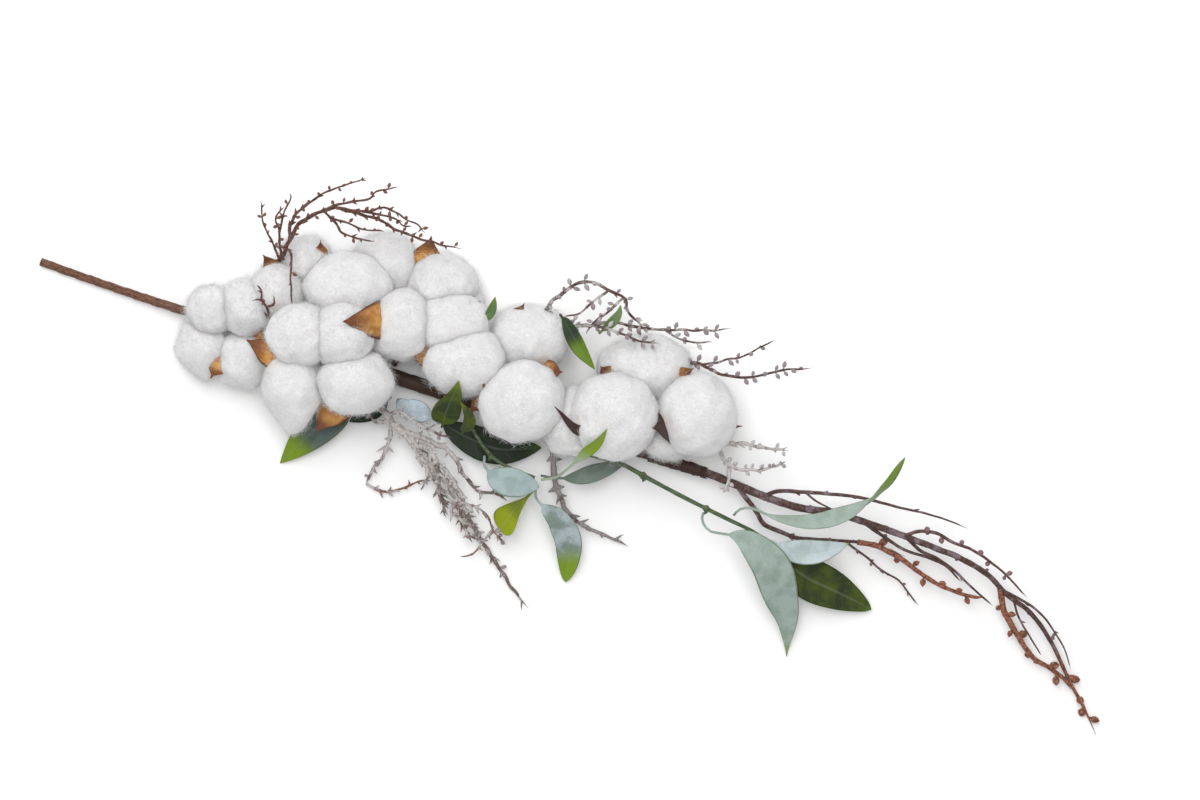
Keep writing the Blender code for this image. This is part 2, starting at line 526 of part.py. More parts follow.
def make_leaf(name, spec, parts, cutters, materials):
    """A thin pointed blade with a fold along its midrib, on a short stalk."""
    width, stalk, belly, point, rolls, fold, points = spec
    route = even_route(points, LEAF_STEPS)
    shares = [row / LEAF_STEPS for row in range(LEAF_STEPS + 1)]
    shape = [blade_share(share, stalk, belly, point) for share in shares]
    least = [LEAF_STALK_WIDTH / 2 + (LEAF_TIP_WIDTH - LEAF_STALK_WIDTH) / 2 * share for share in shares]
    half_widths = [max(width / 2 * size, low) for size, low in zip(shape, least)]
    turned = spread(rolls, len(route))
    folds = [fold * size for size in shape]
    leaf = plate_with_room(name, route, half_widths, turned, folds, LEAF_THICKNESS, parts, cutters)
    finish(leaf, materials["leaf"])


def even_route(points, steps):
    """The smooth curve through a route, cut into steps of equal length."""
    fine = smooth_route(points, 12)
    lengths = [0.0]
    for start, end in zip(fine, fine[1:]):
        lengths.append(lengths[-1] + (end - start).length)
    route = []
    for step in range(steps + 1):
        wanted = lengths[-1] * step / steps
        index = max(i for i, length in enumerate(lengths) if length <= wanted + WELD)
        index = min(index, len(fine) - 2)
        part = (wanted - lengths[index]) / (lengths[index + 1] - lengths[index])
        route.append(fine[index].lerp(fine[index + 1], part))
    return route


def valve_route(cup, cup_radius, middle, tip):
    """From low inside the cup, out through the middle of the valve, then up to its tip."""
    cup = Vector(cup)
    flat = Vector((middle[0] - cup.x, middle[1] - cup.y, 0))
    start = cup + flat.normalized() * cup_radius * 0.4 - UP * cup_radius * 0.45
    return even_route([start, middle, tip], VALVE_STEPS)


def ball(name, centre, radius, collection):
    """A slightly flattened ball."""
    shape = bmesh.new()
    bmesh.ops.create_uvsphere(shape, u_segments=10, v_segments=6, radius=radius * MM)
    bmesh.ops.scale(shape, vec=(1, 1, CUP_FLATNESS), verts=shape.verts)
    bmesh.ops.translate(shape, vec=in_metres(centre), verts=shape.verts)
    mesh = bpy.data.meshes.new(name)
    shape.to_mesh(mesh)
    shape.free()
    return new_object(name, mesh, collection)


def make_husk(name, spec, parts, cutters, materials):
    """The dry burr of a boll: a small cup on a stalk with pointed valves between the locks."""
    cup, cup_radius, stalk_end, valves = spec
    husk = ball(name, cup, cup_radius, parts)
    ball(name + "_room", cup, cup_radius + CLEARANCE, cutters)
    stalk = [Vector(cup), Vector(cup).lerp(Vector(stalk_end), 0.5), Vector(stalk_end)]
    pieces = [tube_with_room(name + "_stalk", stalk, [STALK_RADIUS, STALK_RADIUS], parts, cutters)]
    for index, (width, roll, middle, tip) in enumerate(valves):
        route = valve_route(cup, cup_radius, middle, tip)
        half_widths = [width / 2 * share for share in VALVE_OUTLINE]
        curl = [-2 * half * VALVE_CUP for half in half_widths]
        rolls = [roll] * len(route)
        pieces.append(plate_with_room(
            f"{name}_valve_{index}", route, half_widths, rolls, curl, VALVE_THICKNESS, parts, cutters))
    combine(husk, pieces, "UNION")
    weld(husk.data)
    remove_objects(pieces)
    finish(husk, materials["husk"])


def lock_radius(spec, direction):
    """Distance from a lock's centre to its surface in a direction."""
    _, radii, heading = spec
    local = Matrix.Rotation(-math.radians(heading), 3, "Z") @ direction.normalized()
    return 1 / math.sqrt(sum((part / radius) ** 2 for part, radius in zip(local, radii)))


def make_lock(name, spec, parts):
    """A tuft of cotton: an ellipsoid, cut flat where it is pressed against the locks around it."""
    centre, radii, heading = spec
    shape = bmesh.new()
    bmesh.ops.create_uvsphere(shape, u_segments=LOCK_SEGMENTS, v_segments=LOCK_RINGS, radius=MM)
    bmesh.ops.scale(shape, vec=radii, verts=shape.verts)
    turn = Matrix.Rotation(math.radians(heading), 3, "Z")
    bmesh.ops.rotate(shape, cent=(0, 0, 0), matrix=turn, verts=shape.verts)
    bmesh.ops.translate(shape, vec=in_metres(centre), verts=shape.verts)
    for other_name, other in LOCKS.items():
        if other_name != name:
            press_flat(shape, spec, other)
    mesh = bpy.data.meshes.new(name)
    shape.to_mesh(mesh)
    shape.free()
    return new_object(name, mesh, parts)


def press_flat(shape, spec, other):
    """Cuts a lock at the plane where it meets another one, half a gap short of it."""
    centre, neighbour = Vector(spec[0]), Vector(other[0])
    apart = neighbour - centre
    own = lock_radius(spec, apart)
    theirs = lock_radius(other, apart)
    if apart.length >= own + theirs + GAP:
        return
    share = 0.5 + (own**2 - theirs**2) / (2 * apart.length_squared)
    plane = centre + apart * share - apart.normalized() * GAP / 2
    cut = bmesh.ops.bisect_plane(
        shape, geom=[*shape.verts, *shape.edges, *shape.faces], dist=WELD,
        plane_co=in_metres(plane), plane_no=apart.normalized(), clear_outer=True,
    )
    edges = [item for item in cut["geom_cut"] if isinstance(item, bmesh.types.BMEdge)]
    if edges:
        bmesh.ops.holes_fill(shape, edges=edges, sides=0)


def box_of(obj):
    corners = [vertex.co for vertex in obj.data.vertices]
    low = [min(corner[axis] for corner in corners) for axis in range(3)]
    high = [max(corner[axis] for corner in corners) for axis in range(3)]
    return low, high


def boxes_meet(box, other):
    return all(box[0][axis] < other[1][axis] and other[0][axis] < box[1][axis] for axis in range(3))


def face_group(start, left):
    """The faces joined to a starting face across shared edges, taken out of the set of those left."""
    group = [start]
    left.discard(start)
    for face in group:
        for edge in face.edges:
            pair = edge.link_faces if len(edge.link_faces) == 2 else []
            for other in pair:
                if other in left:
                    left.discard(other)
                    group.append(other)
    return group


def keep_largest_piece(mesh):
    """Drops the small slivers of a lock that a cut has parted from it."""
    shape = bmesh.new()
    shape.from_mesh(mesh)
    left = set(shape.faces)
    groups = []
    while left:
        groups.append(face_group(next(iter(left)), left))
    groups.sort(key=len)
    for group in groups[:-1]:
        bmesh.ops.delete(shape, geom=group, context="FACES")
    shape.to_mesh(mesh)
    shape.free()


def make_locks(parts, cutters, materials):
    """All the locks, each with room cut in it for the stem, husks, twigs and leaves that it touches."""
    rooms = list(cutters.objects)
    for room in rooms:
        room.hide_render = True
        room.display_type = "WIRE"
    for name, spec in LOCKS.items():
        lock = make_lock(name, spec, parts)
        box = box_of(lock)
        near = [room for room in rooms if boxes_meet(box, box_of(room))]
        combine(lock, near, "DIFFERENCE", "MANIFOLD")  # rooms that cross upset the exact solver
        keep_largest_piece(lock.data)
        finish(lock, materials["cotton"])


def main():
    clear_scene()
    parts = new_collection(BUNCH)
    cutters = new_collection("cutters", hidden=True)
    materials = {name: new_material(name, *finish) for name, finish in FINISHES.items()}
    make_stem(parts, cutters, materials)
    make_stem_tape(parts, cutters, materials)
    for name, canes in TWIGS.items():
        make_twig(name, canes, parts, cutters, materials)
    for name, spec in LEAF_STEMS.items():
        make_leaf_stem(name, spec, parts, cutters, materials)
    for name, spec in LEAVES.items():
        make_leaf(name, spec, parts, cutters, materials)
    for name, spec in HUSKS.items():
        make_husk(name, spec, parts, cutters, materials)
    make_locks(parts, cutters, materials)


main()
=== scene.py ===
"""The looks of a cotton stem bunch lying on a pale floor: fluffy bolls in dry burrs, frosted twigs,
waxy leaves and a stem wound with crepe tape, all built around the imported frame.

Routes, centres and sizes are in millimetres, in the frame's own axes: x runs along the stem from
its cut end to the drooping tail, y across it, and z up from the floor. Meshes are in metres.
Colours are screen values from 0 to 255.
"""

import functools
import math
from collections import namedtuple

import bmesh
import bpy
import numpy as np
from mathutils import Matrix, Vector
from mathutils.kdtree import KDTree


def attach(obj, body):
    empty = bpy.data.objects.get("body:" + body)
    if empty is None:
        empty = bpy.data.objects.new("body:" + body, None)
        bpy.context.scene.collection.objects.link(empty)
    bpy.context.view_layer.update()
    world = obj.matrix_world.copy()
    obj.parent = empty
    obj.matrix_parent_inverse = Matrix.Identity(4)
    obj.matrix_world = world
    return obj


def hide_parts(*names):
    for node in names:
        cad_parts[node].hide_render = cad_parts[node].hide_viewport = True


MM = 0.001
SEED = 7
UP = np.array((0.0, 0.0, 1.0))
BODY = "root"


STEM_ROUTE = [
    (-244, 0, 1.9), (-226, -0.6, 2.4), (-208, -1, 3.2), (-182, -1, 5.4), (-160, -0.6, 7.4),
    (-120, 0, 8), (-83, 0, 8), (-60, 0, 8), (-20, 0.5, 8.2), (20, 1.4, 9.4), (44, 2, 10.6),
]
# Spread evenly along the stem.
STEM_RADII = [1.7, 1.75, 1.9, 2.3, 3.0, 3.2, 3.2, 3.1, 2.9, 2.1, 1.75]

TAPE_ROUTE = [(27, 1.62, 9.75), (36, 1.8, 10.2), (44.2, 2, 10.6), (52, 2, 11.2)]
TAPE_OUTER = 2.8  # radius of the dark tape over its turns

# Each twig is a list of canes (radius at base, radius at tip, route). A cane after the
# first grows out of the nearest point of the canes before it.
TWIGS = {
    "arch_twig": [
        (1.1, 0.4, [(-152, 5.5, 5), (-152, 16, 3), (-149.5, 26, 7), (-146.5, 31.5, 20), (-144.5, 38.5, 31),
                    (-143, 45.5, 36), (-140.5, 51, 39), (-134, 57, 41), (-128.5, 60, 42),
                    (-119.5, 60, 41), (-111.5, 60.5, 40), (-102, 58.5, 38), (-90, 58.5, 36),
                    (-82.5, 58.5, 35), (-73, 60, 34)]),
        (0.5, 0.3, [(-146.5, 31.5, 20), (-150.5, 37.5, 27), (-154.5, 41.5, 30), (-158, 46.5, 33),
                    (-160.5, 53, 35)]),
        (0.6, 0.3, [(-146, 33.5, 24), (-148.5, 39.5, 30), (-149.5, 44, 34), (-152, 46.5, 36),
                    (-152, 49.5, 38), (-150, 53.5, 40)]),
        (0.5, 0.3, [(-149.5, 42.5, 33), (-149.5, 51, 38), (-148.5, 57.5, 41), (-149.5, 59.5, 42)]),
        (0.7, 0.3, [(-144.5, 39.5, 32), (-145, 49.5, 39), (-142, 55.5, 44), (-135, 64.5, 48),
                    (-129.5, 68.5, 51), (-120, 75, 55)]),
        (0.6, 0.3, [(-134, 57, 41), (-129.5, 60.5, 45), (-124, 63.5, 48), (-116.5, 67.5, 50),
                    (-114.5, 71, 51), (-106.5, 75.5, 53)]),
        (0.6, 0.3, [(-128, 60.5, 42), (-117.5, 61.5, 45), (-112.5, 64.5, 47), (-107, 66, 47),
                    (-101, 64.5, 46), (-94.5, 63.5, 45), (-90.5, 61, 44)]),
        (0.5, 0.3, [(-118.5, 61, 45), (-111.5, 62.5, 44), (-104.5, 63, 43), (-101, 61, 42),
                    (-97, 62, 41)]),
        (0.6, 0.3, [(-134, 57, 41), (-128.5, 54, 38), (-124.5, 51, 36), (-117.5, 50.5, 35),
                    (-110, 51.5, 34)]),
        (0.5, 0.3, [(-130, 55, 39), (-126, 55, 37), (-115, 55, 35), (-107.5, 56.5, 34)]),
        (0.5, 0.3, [(-145, 41, 26), (-142, 36, 33), (-139, 27, 35.5), (-134, 14, 34)]),
        (0.7, 0.4, [(-152, 5.5, 5), (-148, 6, 18), (-143.5, 8, 29), (-144.5, 11.5, 33.5),
                    (-147.5, 13.5, 35), (-151, 12, 33.5)]),
        (0.5, 0.3, [(-144.5, 11.5, 33.5), (-142, 13.5, 36), (-143, 17, 37)]),
        (0.5, 0.3, [(-147.5, 13.5, 35), (-148.5, 17, 36.5), (-151, 19, 36)]),
    ],
    "crown_twig": [
        (1.1, 0.5, [(-41, 6, 4.5), (-39, 18, 3), (-36, 32, 4), (-34, 43, 15), (-32, 50, 26),
                    (-26, 59, 32), (-20, 63, 34), (-9, 62, 34), (-3, 61, 33), (0, 56, 31),
                    (10, 51, 28)]),
        (0.6, 0.3, [(-11, 62.5, 34), (-15, 56, 34), (-19, 50, 32), (-25, 46, 30)]),
        (0.6, 0.3, [(-4, 61, 33), (-8, 54, 33), (-12, 48, 31), (-14, 42, 29)]),
        (0.8, 0.4, [(-34, 42, 14), (-27, 43, 17), (-20, 44, 19), (-12, 47, 21), (-4, 50.5, 22),
                    (8, 52, 24), (21, 55, 27), (33, 59, 28), (43, 63, 27)]),
        (0.5, 0.3, [(17, 54, 26), (26, 52, 29), (37, 55, 29)]),
        (0.7, 0.4, [(-27, 43, 17), (-21.5, 43, 25), (-12, 46, 29), (-2, 47, 31), (8, 46, 31.5),
                    (17, 47.5, 31.5)]),
    ],
    "side_twig": [
        (0.9, 0.4, [(20, 7.5, 6.5), (24, 20, 3), (28, 34, 5), (31, 43, 15), (35, 45, 22), (45, 43.5, 27),
                    (57, 46, 28), (69, 53, 28), (81, 58, 26)]),
        (0.5, 0.3, [(36, 45, 23), (46, 50, 24), (53, 55, 26), (62, 64, 29)]),
    ],
    "cascade_twig": [
        (1.7, 0.5, [(-99, -6.5, 8), (-88.5, -13.5, 12), (-80, -19, 14), (-71.5, -22.5, 14),
                    (-60.5, -29.5, 12), (-51, -35.5, 10.5), (-44, -41.5, 9), (-36.5, -48, 7.5),
                    (-29.5, -55, 6), (-22, -61, 4.5), (-13, -68, 3), (-5.5, -73, 2), (-1.5, -76, 1.6)]),
        (0.9, 0.5, [(-81.5, -18.5, 14), (-79.5, -27, 9), (-80.5, -34, 6), (-83, -40.5, 4),
                    (-83.5, -47, 2.5)]),
        (0.6, 0.35, [(-83.5, -47, 2.5), (-75, -48, 2), (-68.5, -44.5, 2.5), (-63, -39.5, 4),
                    (-57.5, -37, 5)]),
        (0.8, 0.4, [(-83, -16.5, 14), (-79, -13.5, 19), (-73, -15, 21), (-66.5, -16.5, 20.5),
                    (-60.5, -17.5, 19), (-54.5, -17, 18)]),
        (1.2, 0.5, [(-75.5, -21, 14), (-67.5, -21, 14), (-59, -21.5, 14), (-53, -23.5, 14),
                    (-48, -27, 13), (-44, -31.5, 11), (-37.5, -34.5, 9), (-32, -34.5, 8),
                    (-25.5, -33.5, 7)]),
        (1.2, 0.6, [(-68, -24, 14), (-63.5, -24.5, 17), (-57.5, -28, 17), (-55, -34.5, 15),
                    (-52, -41, 12), (-47, -44.5, 10)]),
        (0.7, 0.4, [(-45, -41.5, 9), (-45.5, -46.5, 11), (-41, -48, 12), (-36.5, -52, 11),
                    (-33, -56.5, 9)]),
        (0.6, 0.35, [(-47.5, -39, 10), (-41.5, -42, 13), (-36, -42, 14), (-30.5, -44, 12),
                    (-25, -49.5, 10), (-19, -53, 8)]),
        (0.5, 0.3, [(-26.5, -48, 10.5), (-27.5, -52, 8), (-29, -56.5, 7.5), (-31.5, -61, 6),
                    (-36, -64, 5)]),
        (0.7, 0.4, [(-82.5, -18, 13), (-86, -21, 11.5), (-90, -19, 11), (-94, -16, 11)]),
        (0.6, 0.35, [(-55, -32.5, 11), (-59, -36.5, 8), (-60.5, -42.5, 6)]),
        (0.9, 0.5, [(-60.5, -29.5, 12), (-55, -30, 15), (-49.5, -33, 14.5), (-43.5, -38.5, 12.5),
                    (-39, -45.5, 11), (-33, -50.5, 9), (-28.5, -57.5, 7)]),
        (0.9, 0.45, [(-71.5, -22.5, 14), (-66.5, -28, 12.5), (-61, -33, 11), (-55.5, -38, 10),
                    (-50, -43.5, 9), (-46.5, -50, 8)]),
        (0.7, 0.4, [(-51, -35.5, 10.5), (-48.5, -40, 13), (-42, -45.5, 12.5), (-38, -52, 10),
                    (-30.5, -55.5, 8)]),
    ],
    "low_twig": [
        (1.4, 0.5, [(-16, -6, 8), (-12.5, -8.5, 9.5), (-10, -15, 10), (-7.5, -21.5, 10), (-3.5, -26, 9),
                    (1, -31.5, 8), (7, -34.5, 7), (14, -36, 5.5), (22, -36.5, 3.5), (30.5, -38, 1.6)]),
    ],
    "under_twig": [
        (1.2, 0.5, [(36, 8, 8), (44, 11, 10), (52, 14, 16), (58, 17.5, 22), (70, 20, 24), (82, 21.5, 22)]),
        (0.9, 0.45, [(53, 14.5, 17), (59, 8.5, 21), (67, 8.5, 24), (76, 12, 25), (82, 17, 27)]),
        (0.9, 0.6, [(60, 8.5, 21.5), (61.5, 3, 23), (61.5, -3.5, 24)]),
    ],
    "tail_twig": [
        (1.8, 0.6, [(44.5, 2, 10.65), (54, 2, 11.4), (63, 1.5, 13.2), (75, 0.5, 15.5), (87, 0, 17),
                    (95.5, 0.5, 18), (109.5, 3, 19), (118.5, 3, 20), (130, 3, 20), (141, 2.5, 20),
                    (152.5, 2, 19), (165, 1, 18), (178, -2, 16.5), (188.5, -7.5, 14.5), (199, -11, 12),
                    (208, -16.5, 10), (215.5, -23, 8), (222, -30, 6), (229.5, -37.5, 3.5),
                    (236.5, -44, 2), (244.5, -53, 0.9)]),
        (0.9, 0.3, [(78, 0.5, 16), (84, 4.5, 19), (95, 7.5, 22), (107, 10.5, 24), (118, 12.5, 25),
                    (126.5, 13, 25.5), (135, 13.5, 25), (145.5, 14.5, 24), (155.5, 14.5, 23),
                    (164, 14, 22)]),
        (0.5, 0.3, [(94, 7.5, 22), (100, 5, 21.5), (107, 4, 22)]),
        (1.1, 0.45, [(66, 1, 14), (72.5, -3.5, 13), (78, -7.5, 12), (82.5, -11, 11.5), (91, -12, 11),
                    (98.5, -12, 11), (113.5, -8, 12), (124.5, -5.5, 12.5), (133, -5, 12.5),
                    (143, -5.5, 12)]),
        (0.55, 0.3, [(116.5, -7.5, 12), (128, -11, 10), (136.5, -14.5, 8), (143.5, -16, 6),
                    (149, -19.5, 4), (155.5, -23.5, 2)]),
        (1.2, 0.7, [(122, -6, 12.5), (130.5, -5, 14.5), (139.5, -6.5, 14.5), (147.5, -9, 13),
                    (157.5, -12, 12), (167, -13, 11), (176, -13, 10), (180.5, -11.5, 9.5)]),
        (0.8, 0.35, [(139, 2.5, 20), (145, 6.5, 22), (152, 8, 23), (159.5, 6.5, 23), (167.5, 6, 22),
                    (175.5, 4, 21), (184, 1, 19), (191.5, -3, 16), (197, -6, 14)]),
        (0.8, 0.35, [(140, 2.5, 20), (148, -1, 17), (157.5, -2.5, 15), (166, -5.5, 13),
                    (175.5, -10, 11), (185, -14, 9)]),
        (0.6, 0.25, [(186, -5.5, 15.5), (196, -8, 15), (204.5, -10.5, 13), (212.5, -16, 11),
                    (219, -21.5, 9), (225, -29.5, 7)]),
        (1.4, 0.8, [(185.5, -5.5, 15), (189, -13, 12), (194, -18.5, 10), (200.5, -24, 8),
                    (208, -29.5, 6.5), (215.5, -31.5, 5.5), (223.5, -34, 5), (228, -37.5, 4)]),
        (0.5, 0.3, [(191.5, -9, 13.5), (197.5, -16, 11), (204, -21.5, 9.5), (211, -27.5, 8)]),
        (0.8, 0.4, [(120, 3, 20), (132.5, -0.5, 17), (142, -3, 16), (151, -3, 16), (160, -4, 15),
                    (169, -8.5, 14)]),
    ],
}

# (radius at base, radius at tip, route)
LEAF_STEMS = {
    "leaf_stem_end": (1.05, 0.8, [(-14, -5.5, 12.5), (-4, -6, 14), (8, -5.5, 16), (18, -5.5, 19),
                                  (29, -7.5, 21), (46, -10.5, 22), (66, -13.5, 22), (77, -15, 21),
                                  (84, -17, 20)]),
    "leaf_stem_mid": (0.9, 0.6, [(-52, -6, 13), (-46, -12, 15), (-38, -18, 17), (-30, -21, 19),
                                 (-16, -22, 20)]),
}

# name: (greatest width, share of the length that is bare stalk, belly, point, rolls from base to
#        tip, depth of the fold across the midrib, route of the midrib). A larger belly moves the
#        widest place towards the tip, and a larger point makes both ends more slender.
LEAVES = {
    "leaf_end_long": (7.5, 0.2, 1.0, 0.65, (0, 0, 0, -10, -55, -135, -165), 0.9, [
        (68.5, -11, 23.3), (70, -8, 27), (74.5, -6, 30), (86, -6.5, 32), (100, -3.5, 34),
        (112, 3.5, 36), (119.5, 11, 38), (125, 21, 42), (128, 34, 45)]),
    "leaf_end_broad": (16.5, 0.2, 0.75, 1.1, (10, 0, -5, -15), 1.6, [
        (56, -14.2, 22), (56.5, -17.5, 24), (60.5, -20.5, 26), (66, -20, 27), (74.5, -19, 27.5),
        (83.5, -22.5, 27), (91, -28, 24), (98, -37.5, 17), (104, -46.5, 10), (109, -61.5, 2)]),
    "leaf_end_small": (11, 0.08, 0.8, 0.8, (0, 25), 0.8, [
        (87, -16.5, 20.7), (95, -18, 23), (104.5, -15.5, 25), (112, -11.5, 26), (118, -7.5, 26)]),
    "leaf_end_dark": (18, 0.15, 0.7, 0.65, (-10, 5), 1.4, [
        (86, -19.2, 18.3), (95.5, -23.5, 16.5), (107, -27, 13), (118.5, -28.5, 9), (128.5, -30, 5),
        (137, -31.5, 3)]),
    "leaf_mid_pale": (12.5, 0.25, 0.9, 0.7, (0, 0), 1.2, [
        (-39, -20, 18.5), (-37, -24.5, 21.5), (-30, -27, 24), (-22, -26.5, 25), (-13, -25, 22.8)]),
    "leaf_mid_folded": (13, 0.06, 3.2, 0.55, (10, 20, 30), 1.0, [
        (-13.8, -25.2, 19.3), (-17, -32, 18), (-20.5, -39, 15), (-23.5, -48, 10)]),
    "leaf_mid_hanging": (11.5, 0.2, 0.9, 0.6, (0, -10), 1.6, [
        (-14.5, -24.5, 16.3), (-13, -30, 15.5), (-8, -33, 16), (-1.5, -36, 15), (5, -42.5, 11),
        (8, -50.5, 6.5), (10, -60.5, 2)]),
    "leaf_mid_raised": (5.5, 0.4, 1.3, 0.8, (20, 20, 50), 0.6, [
        (-13, -22, 20.5), (-7.5, -19, 24), (-4, -14, 30), (0, -7, 37), (4, 0, 43), (6.5, 7, 47)]),
    "leaf_mid_grey": (7.5, 0.25, 0.9, 0.8, (10, -10), 0.7, [
        (-13.8, -20.5, 18), (-7.5, -19.5, 16.5), (1, -16.5, 14.5), (9.5, -11, 12.5), (18.5, -4.5, 11)]),
    "leaf_low_green": (12, 0.08, 0.55, 0.9, (0, 30), 1.5, [
        (-60, -14, 14), (-60, -7, 23), (-59, 0, 33), (-58.5, 7, 42)]),
    "leaf_low_bud": (6, 0.08, 0.7, 0.8, (20, 40), 0.6, [
        (-51, -14, 18), (-49.5, -9.5, 27), (-51, -5.5, 34), (-55, -1.5, 41)]),
    "leaf_low_pale": (9.5, 0.2, 0.9, 0.6, (0, 15), 1.0, [
        (-61.5, -13, 13), (-65.5, -11.5, 14), (-71, -11, 15), (-77, -11, 16), (-81.5, -8.5, 16)]),
    "leaf_low_dark": (14, 0.05, 0.9, 0.7, (0, 0), 1.3, [
        (-62.5, -11.5, 9), (-51, -14.5, 8), (-34.5, -15.5, 6.5), (-17.5, -9.5, 5)]),
    "leaf_under_broad": (17, 0.05, 0.6, 0.8, (0, 15), 1.2, [
        (-101, -13.5, 6), (-108, -26, 7), (-115, -39, 4.5), (-121, -50, 1)]),
    "leaf_under_dark": (9, 0.1, 0.8, 0.8, (0, 0), 0.8, [
        (-84.5, -8.5, 6), (-90, -15.5, 7.5), (-98, -24, 9.5)]),
    "leaf_top_green": (7.5, 0.08, 0.8, 0.8, (40, 20), 0.7, [
        (-27, 46.5, 23), (-21, 41.5, 31), (-14, 35, 33), (-6, 29, 34)]),
    "leaf_top_light": (5, 0.1, 0.8, 0.8, (30, 30), 0.5, [
        (-9, 44, 24.8), (-6, 49, 28), (-4, 54, 30.5), (-4, 58, 31)]),
    "leaf_top_tip": (4, 0.1, 0.8, 0.8, (0, 30), 0.4, [
        (-57, 33, 27), (-55, 38, 29), (-55, 45, 32)]),
}

# boll: (cup centre, radius of the cup, stalk end beside the stem,
#        [(width of a valve, roll about its midrib, middle, tip)])
HUSKS = {
    "husk_1": ((-158, -5.5, 16.5), 3.4, (-164, -5.5, 12.5), [
        (9, 0, (-168.5, -12, 15.5), (-176.5, -16, 15)),
        (13, 0, (-157, -14.5, 20.5), (-158.5, -23, 19.5)),
        (9, 0, (-149, -3, 18), (-142, 1.5, 27)),
        (7, 0, (-159, 4.5, 18), (-159, 11.5, 24)),
    ]),
    "husk_2": ((-126, 29, 11), 3.6, (-136, 4.6, 6), [
        (10, 0, (-143.5, 25.5, 19), (-152, 31, 30)),
        (6, 0, (-129.5, 36.5, 16), (-132, 44, 25)),
        (8, 0, (-117, 34.5, 18), (-112, 38, 30)),
        (7, 0, (-126.5, 21.5, 14), (-127, 18, 24)),
    ]),
    "husk_3": ((-114, -2, 19), 3.8, (-108, -1, 12), [
        (15, 0, (-131.5, -6.5, 33), (-146.5, -4.5, 36)),
        (17, 0, (-105, -14, 20), (-109, -30.5, 20)),
        (9, 0, (-102, 3, 24), (-93, 6, 32)),
        (8, 0, (-117.5, 6.5, 26), (-119, 12, 36)),
    ]),
    "husk_4": ((-78, 31, 11), 3.8, (-88, 4.6, 6), [
        (17, 0, (-99, 20, 41), (-110, 16, 49.5)),
        (15, 0, (-86.5, 43.5, 17), (-88.5, 59.5, 23)),
        (8, 0, (-67, 37.5, 14), (-61, 41, 24)),
        (8, 0, (-77, 23, 16), (-77, 20, 25)),
    ]),
    "husk_5": ((-45, 18, 11.5), 4.0, (-49, 4.6, 7), [
        (12, 0, (-70.5, 12.5, 25), (-82.5, 14.5, 33)),
        (7, 0, (-46.5, 12.5, 24), (-48, 8, 36)),
        (11, 0, (-30.5, 21, 19), (-19.5, 23.5, 35)),
        (9, 0, (-46, 33, 17), (-43, 45, 26)),
        (8, 0, (-48, 3.5, 18), (-50, -4, 22)),
    ]),
    "husk_6": ((16, 19, 11), 4.4, (5, 5.6, 7), [
        (6, 150, (-2.5, 3.5, 35), (-16, 8.5, 39)),
        (8, 180, (26, 15.5, 36), (32.5, 10, 41.5)),
        (8, 0, (24.5, 33, 18), (32.5, 41.5, 33)),
        (9, 0, (4, 26.5, 18), (-3.5, 30.5, 33)),
        (8, 0, (43.5, 19.5, 14), (59, 25, 21)),
    ]),
}
CUP_FLATNESS = 0.75
STALK_RADIUS = 1.5

# The locks of each boll in turn: (centre, radii). A lock's first radius points along its heading,
# in degrees from the x axis.
LOCK_HEADING = 18
TURNED_LOCKS = {"boll_3_lock_3": -72}
BOLLS = [
    [((-167, 3, 19), (10.5, 10, 10.5)), ((-153, 9, 20), (12, 12, 12)),
     ((-166, -13, 12), (11.5, 12.5, 12)), ((-148, -12, 13), (12.5, 12.5, 13))],
    [((-143, 18.5, 21), (11.5, 12, 12.5)), ((-136, 34, 13), (11, 11, 13)),
     ((-115, 29, 23), (20, 15.5, 16)), ((-104, 44, 13), (14.5, 13, 13))],
    [((-127.5, 4.5, 33.5), (14, 13.5, 13)), ((-111, 10, 34), (13.8, 13.8, 13.5)),
     ((-124, -17, 26), (18, 13, 14)), ((-100, -7, 31), (16, 13.5, 14.5))],
    [((-79, 43, 14), (15.5, 13.5, 14)), ((-90, 22, 25), (14.5, 15, 15)),
     ((-69, 28, 22), (16.5, 13.5, 14)), ((-72, 36, 9), (13, 12, 9))],
    [((-58, 15, 25), (18.5, 14, 15)), ((-37, 33, 15), (18, 14, 15)), ((-31, 7, 28), (18.5, 17, 16.5)),
     ((-52, 27, 10), (13, 12, 10))],
    [((14, 36, 15), (20, 14, 15)), ((8, 13, 27), (19.5, 18, 17)), ((40, 24, 24), (17, 17.5, 17.5)),
     ((-9, 5, 21), (13, 14, 12)), ((32.5, 9.5, 20), (9.5, 7, 9))],
]
LOCKS = {
    f"boll_{boll}_lock_{lock}": spec
    for boll, locks in enumerate(BOLLS, 1)
    for lock, spec in enumerate(locks, 1)
}


ROUTE_STEPS = 12  # steps between two points of a route when it is drawn as a smooth curve


def smooth_route(points, steps=ROUTE_STEPS):
    """Points on a smooth curve through a route, with a number of steps between neighbours."""
    points = np.array(points, float)
    ends = np.vstack([2 * points[0] - points[1], points, 2 * points[-1] - points[-2]])
    share = np.linspace(0, 1, steps, endpoint=False)[:, None]
    pieces = []
    for before, start, end, after in zip(ends, ends[1:], ends[2:], ends[3:]):
        square = 2 * before - 5 * start + 4 * end - after
        cube = 3 * start - before - 3 * end + after
        pieces.append(0.5 * (2 * start + (end - before) * share + square * share**2 + cube * share**3))
    return np.vstack([*pieces, points[-1:]])


def distances_along(route):
    steps = np.linalg.norm(np.diff(route, axis=0), axis=1)
    return np.concatenate([[0.0], np.cumsum(steps)])


def even_route(points, steps):
    """The smooth curve through a route, cut into a number of equal steps."""
    fine = smooth_route(points)
    places = distances_along(fine)
    wanted = np.linspace(0, places[-1], steps + 1)
    return np.column_stack([np.interp(wanted, places, fine[:, axis]) for axis in range(3)])


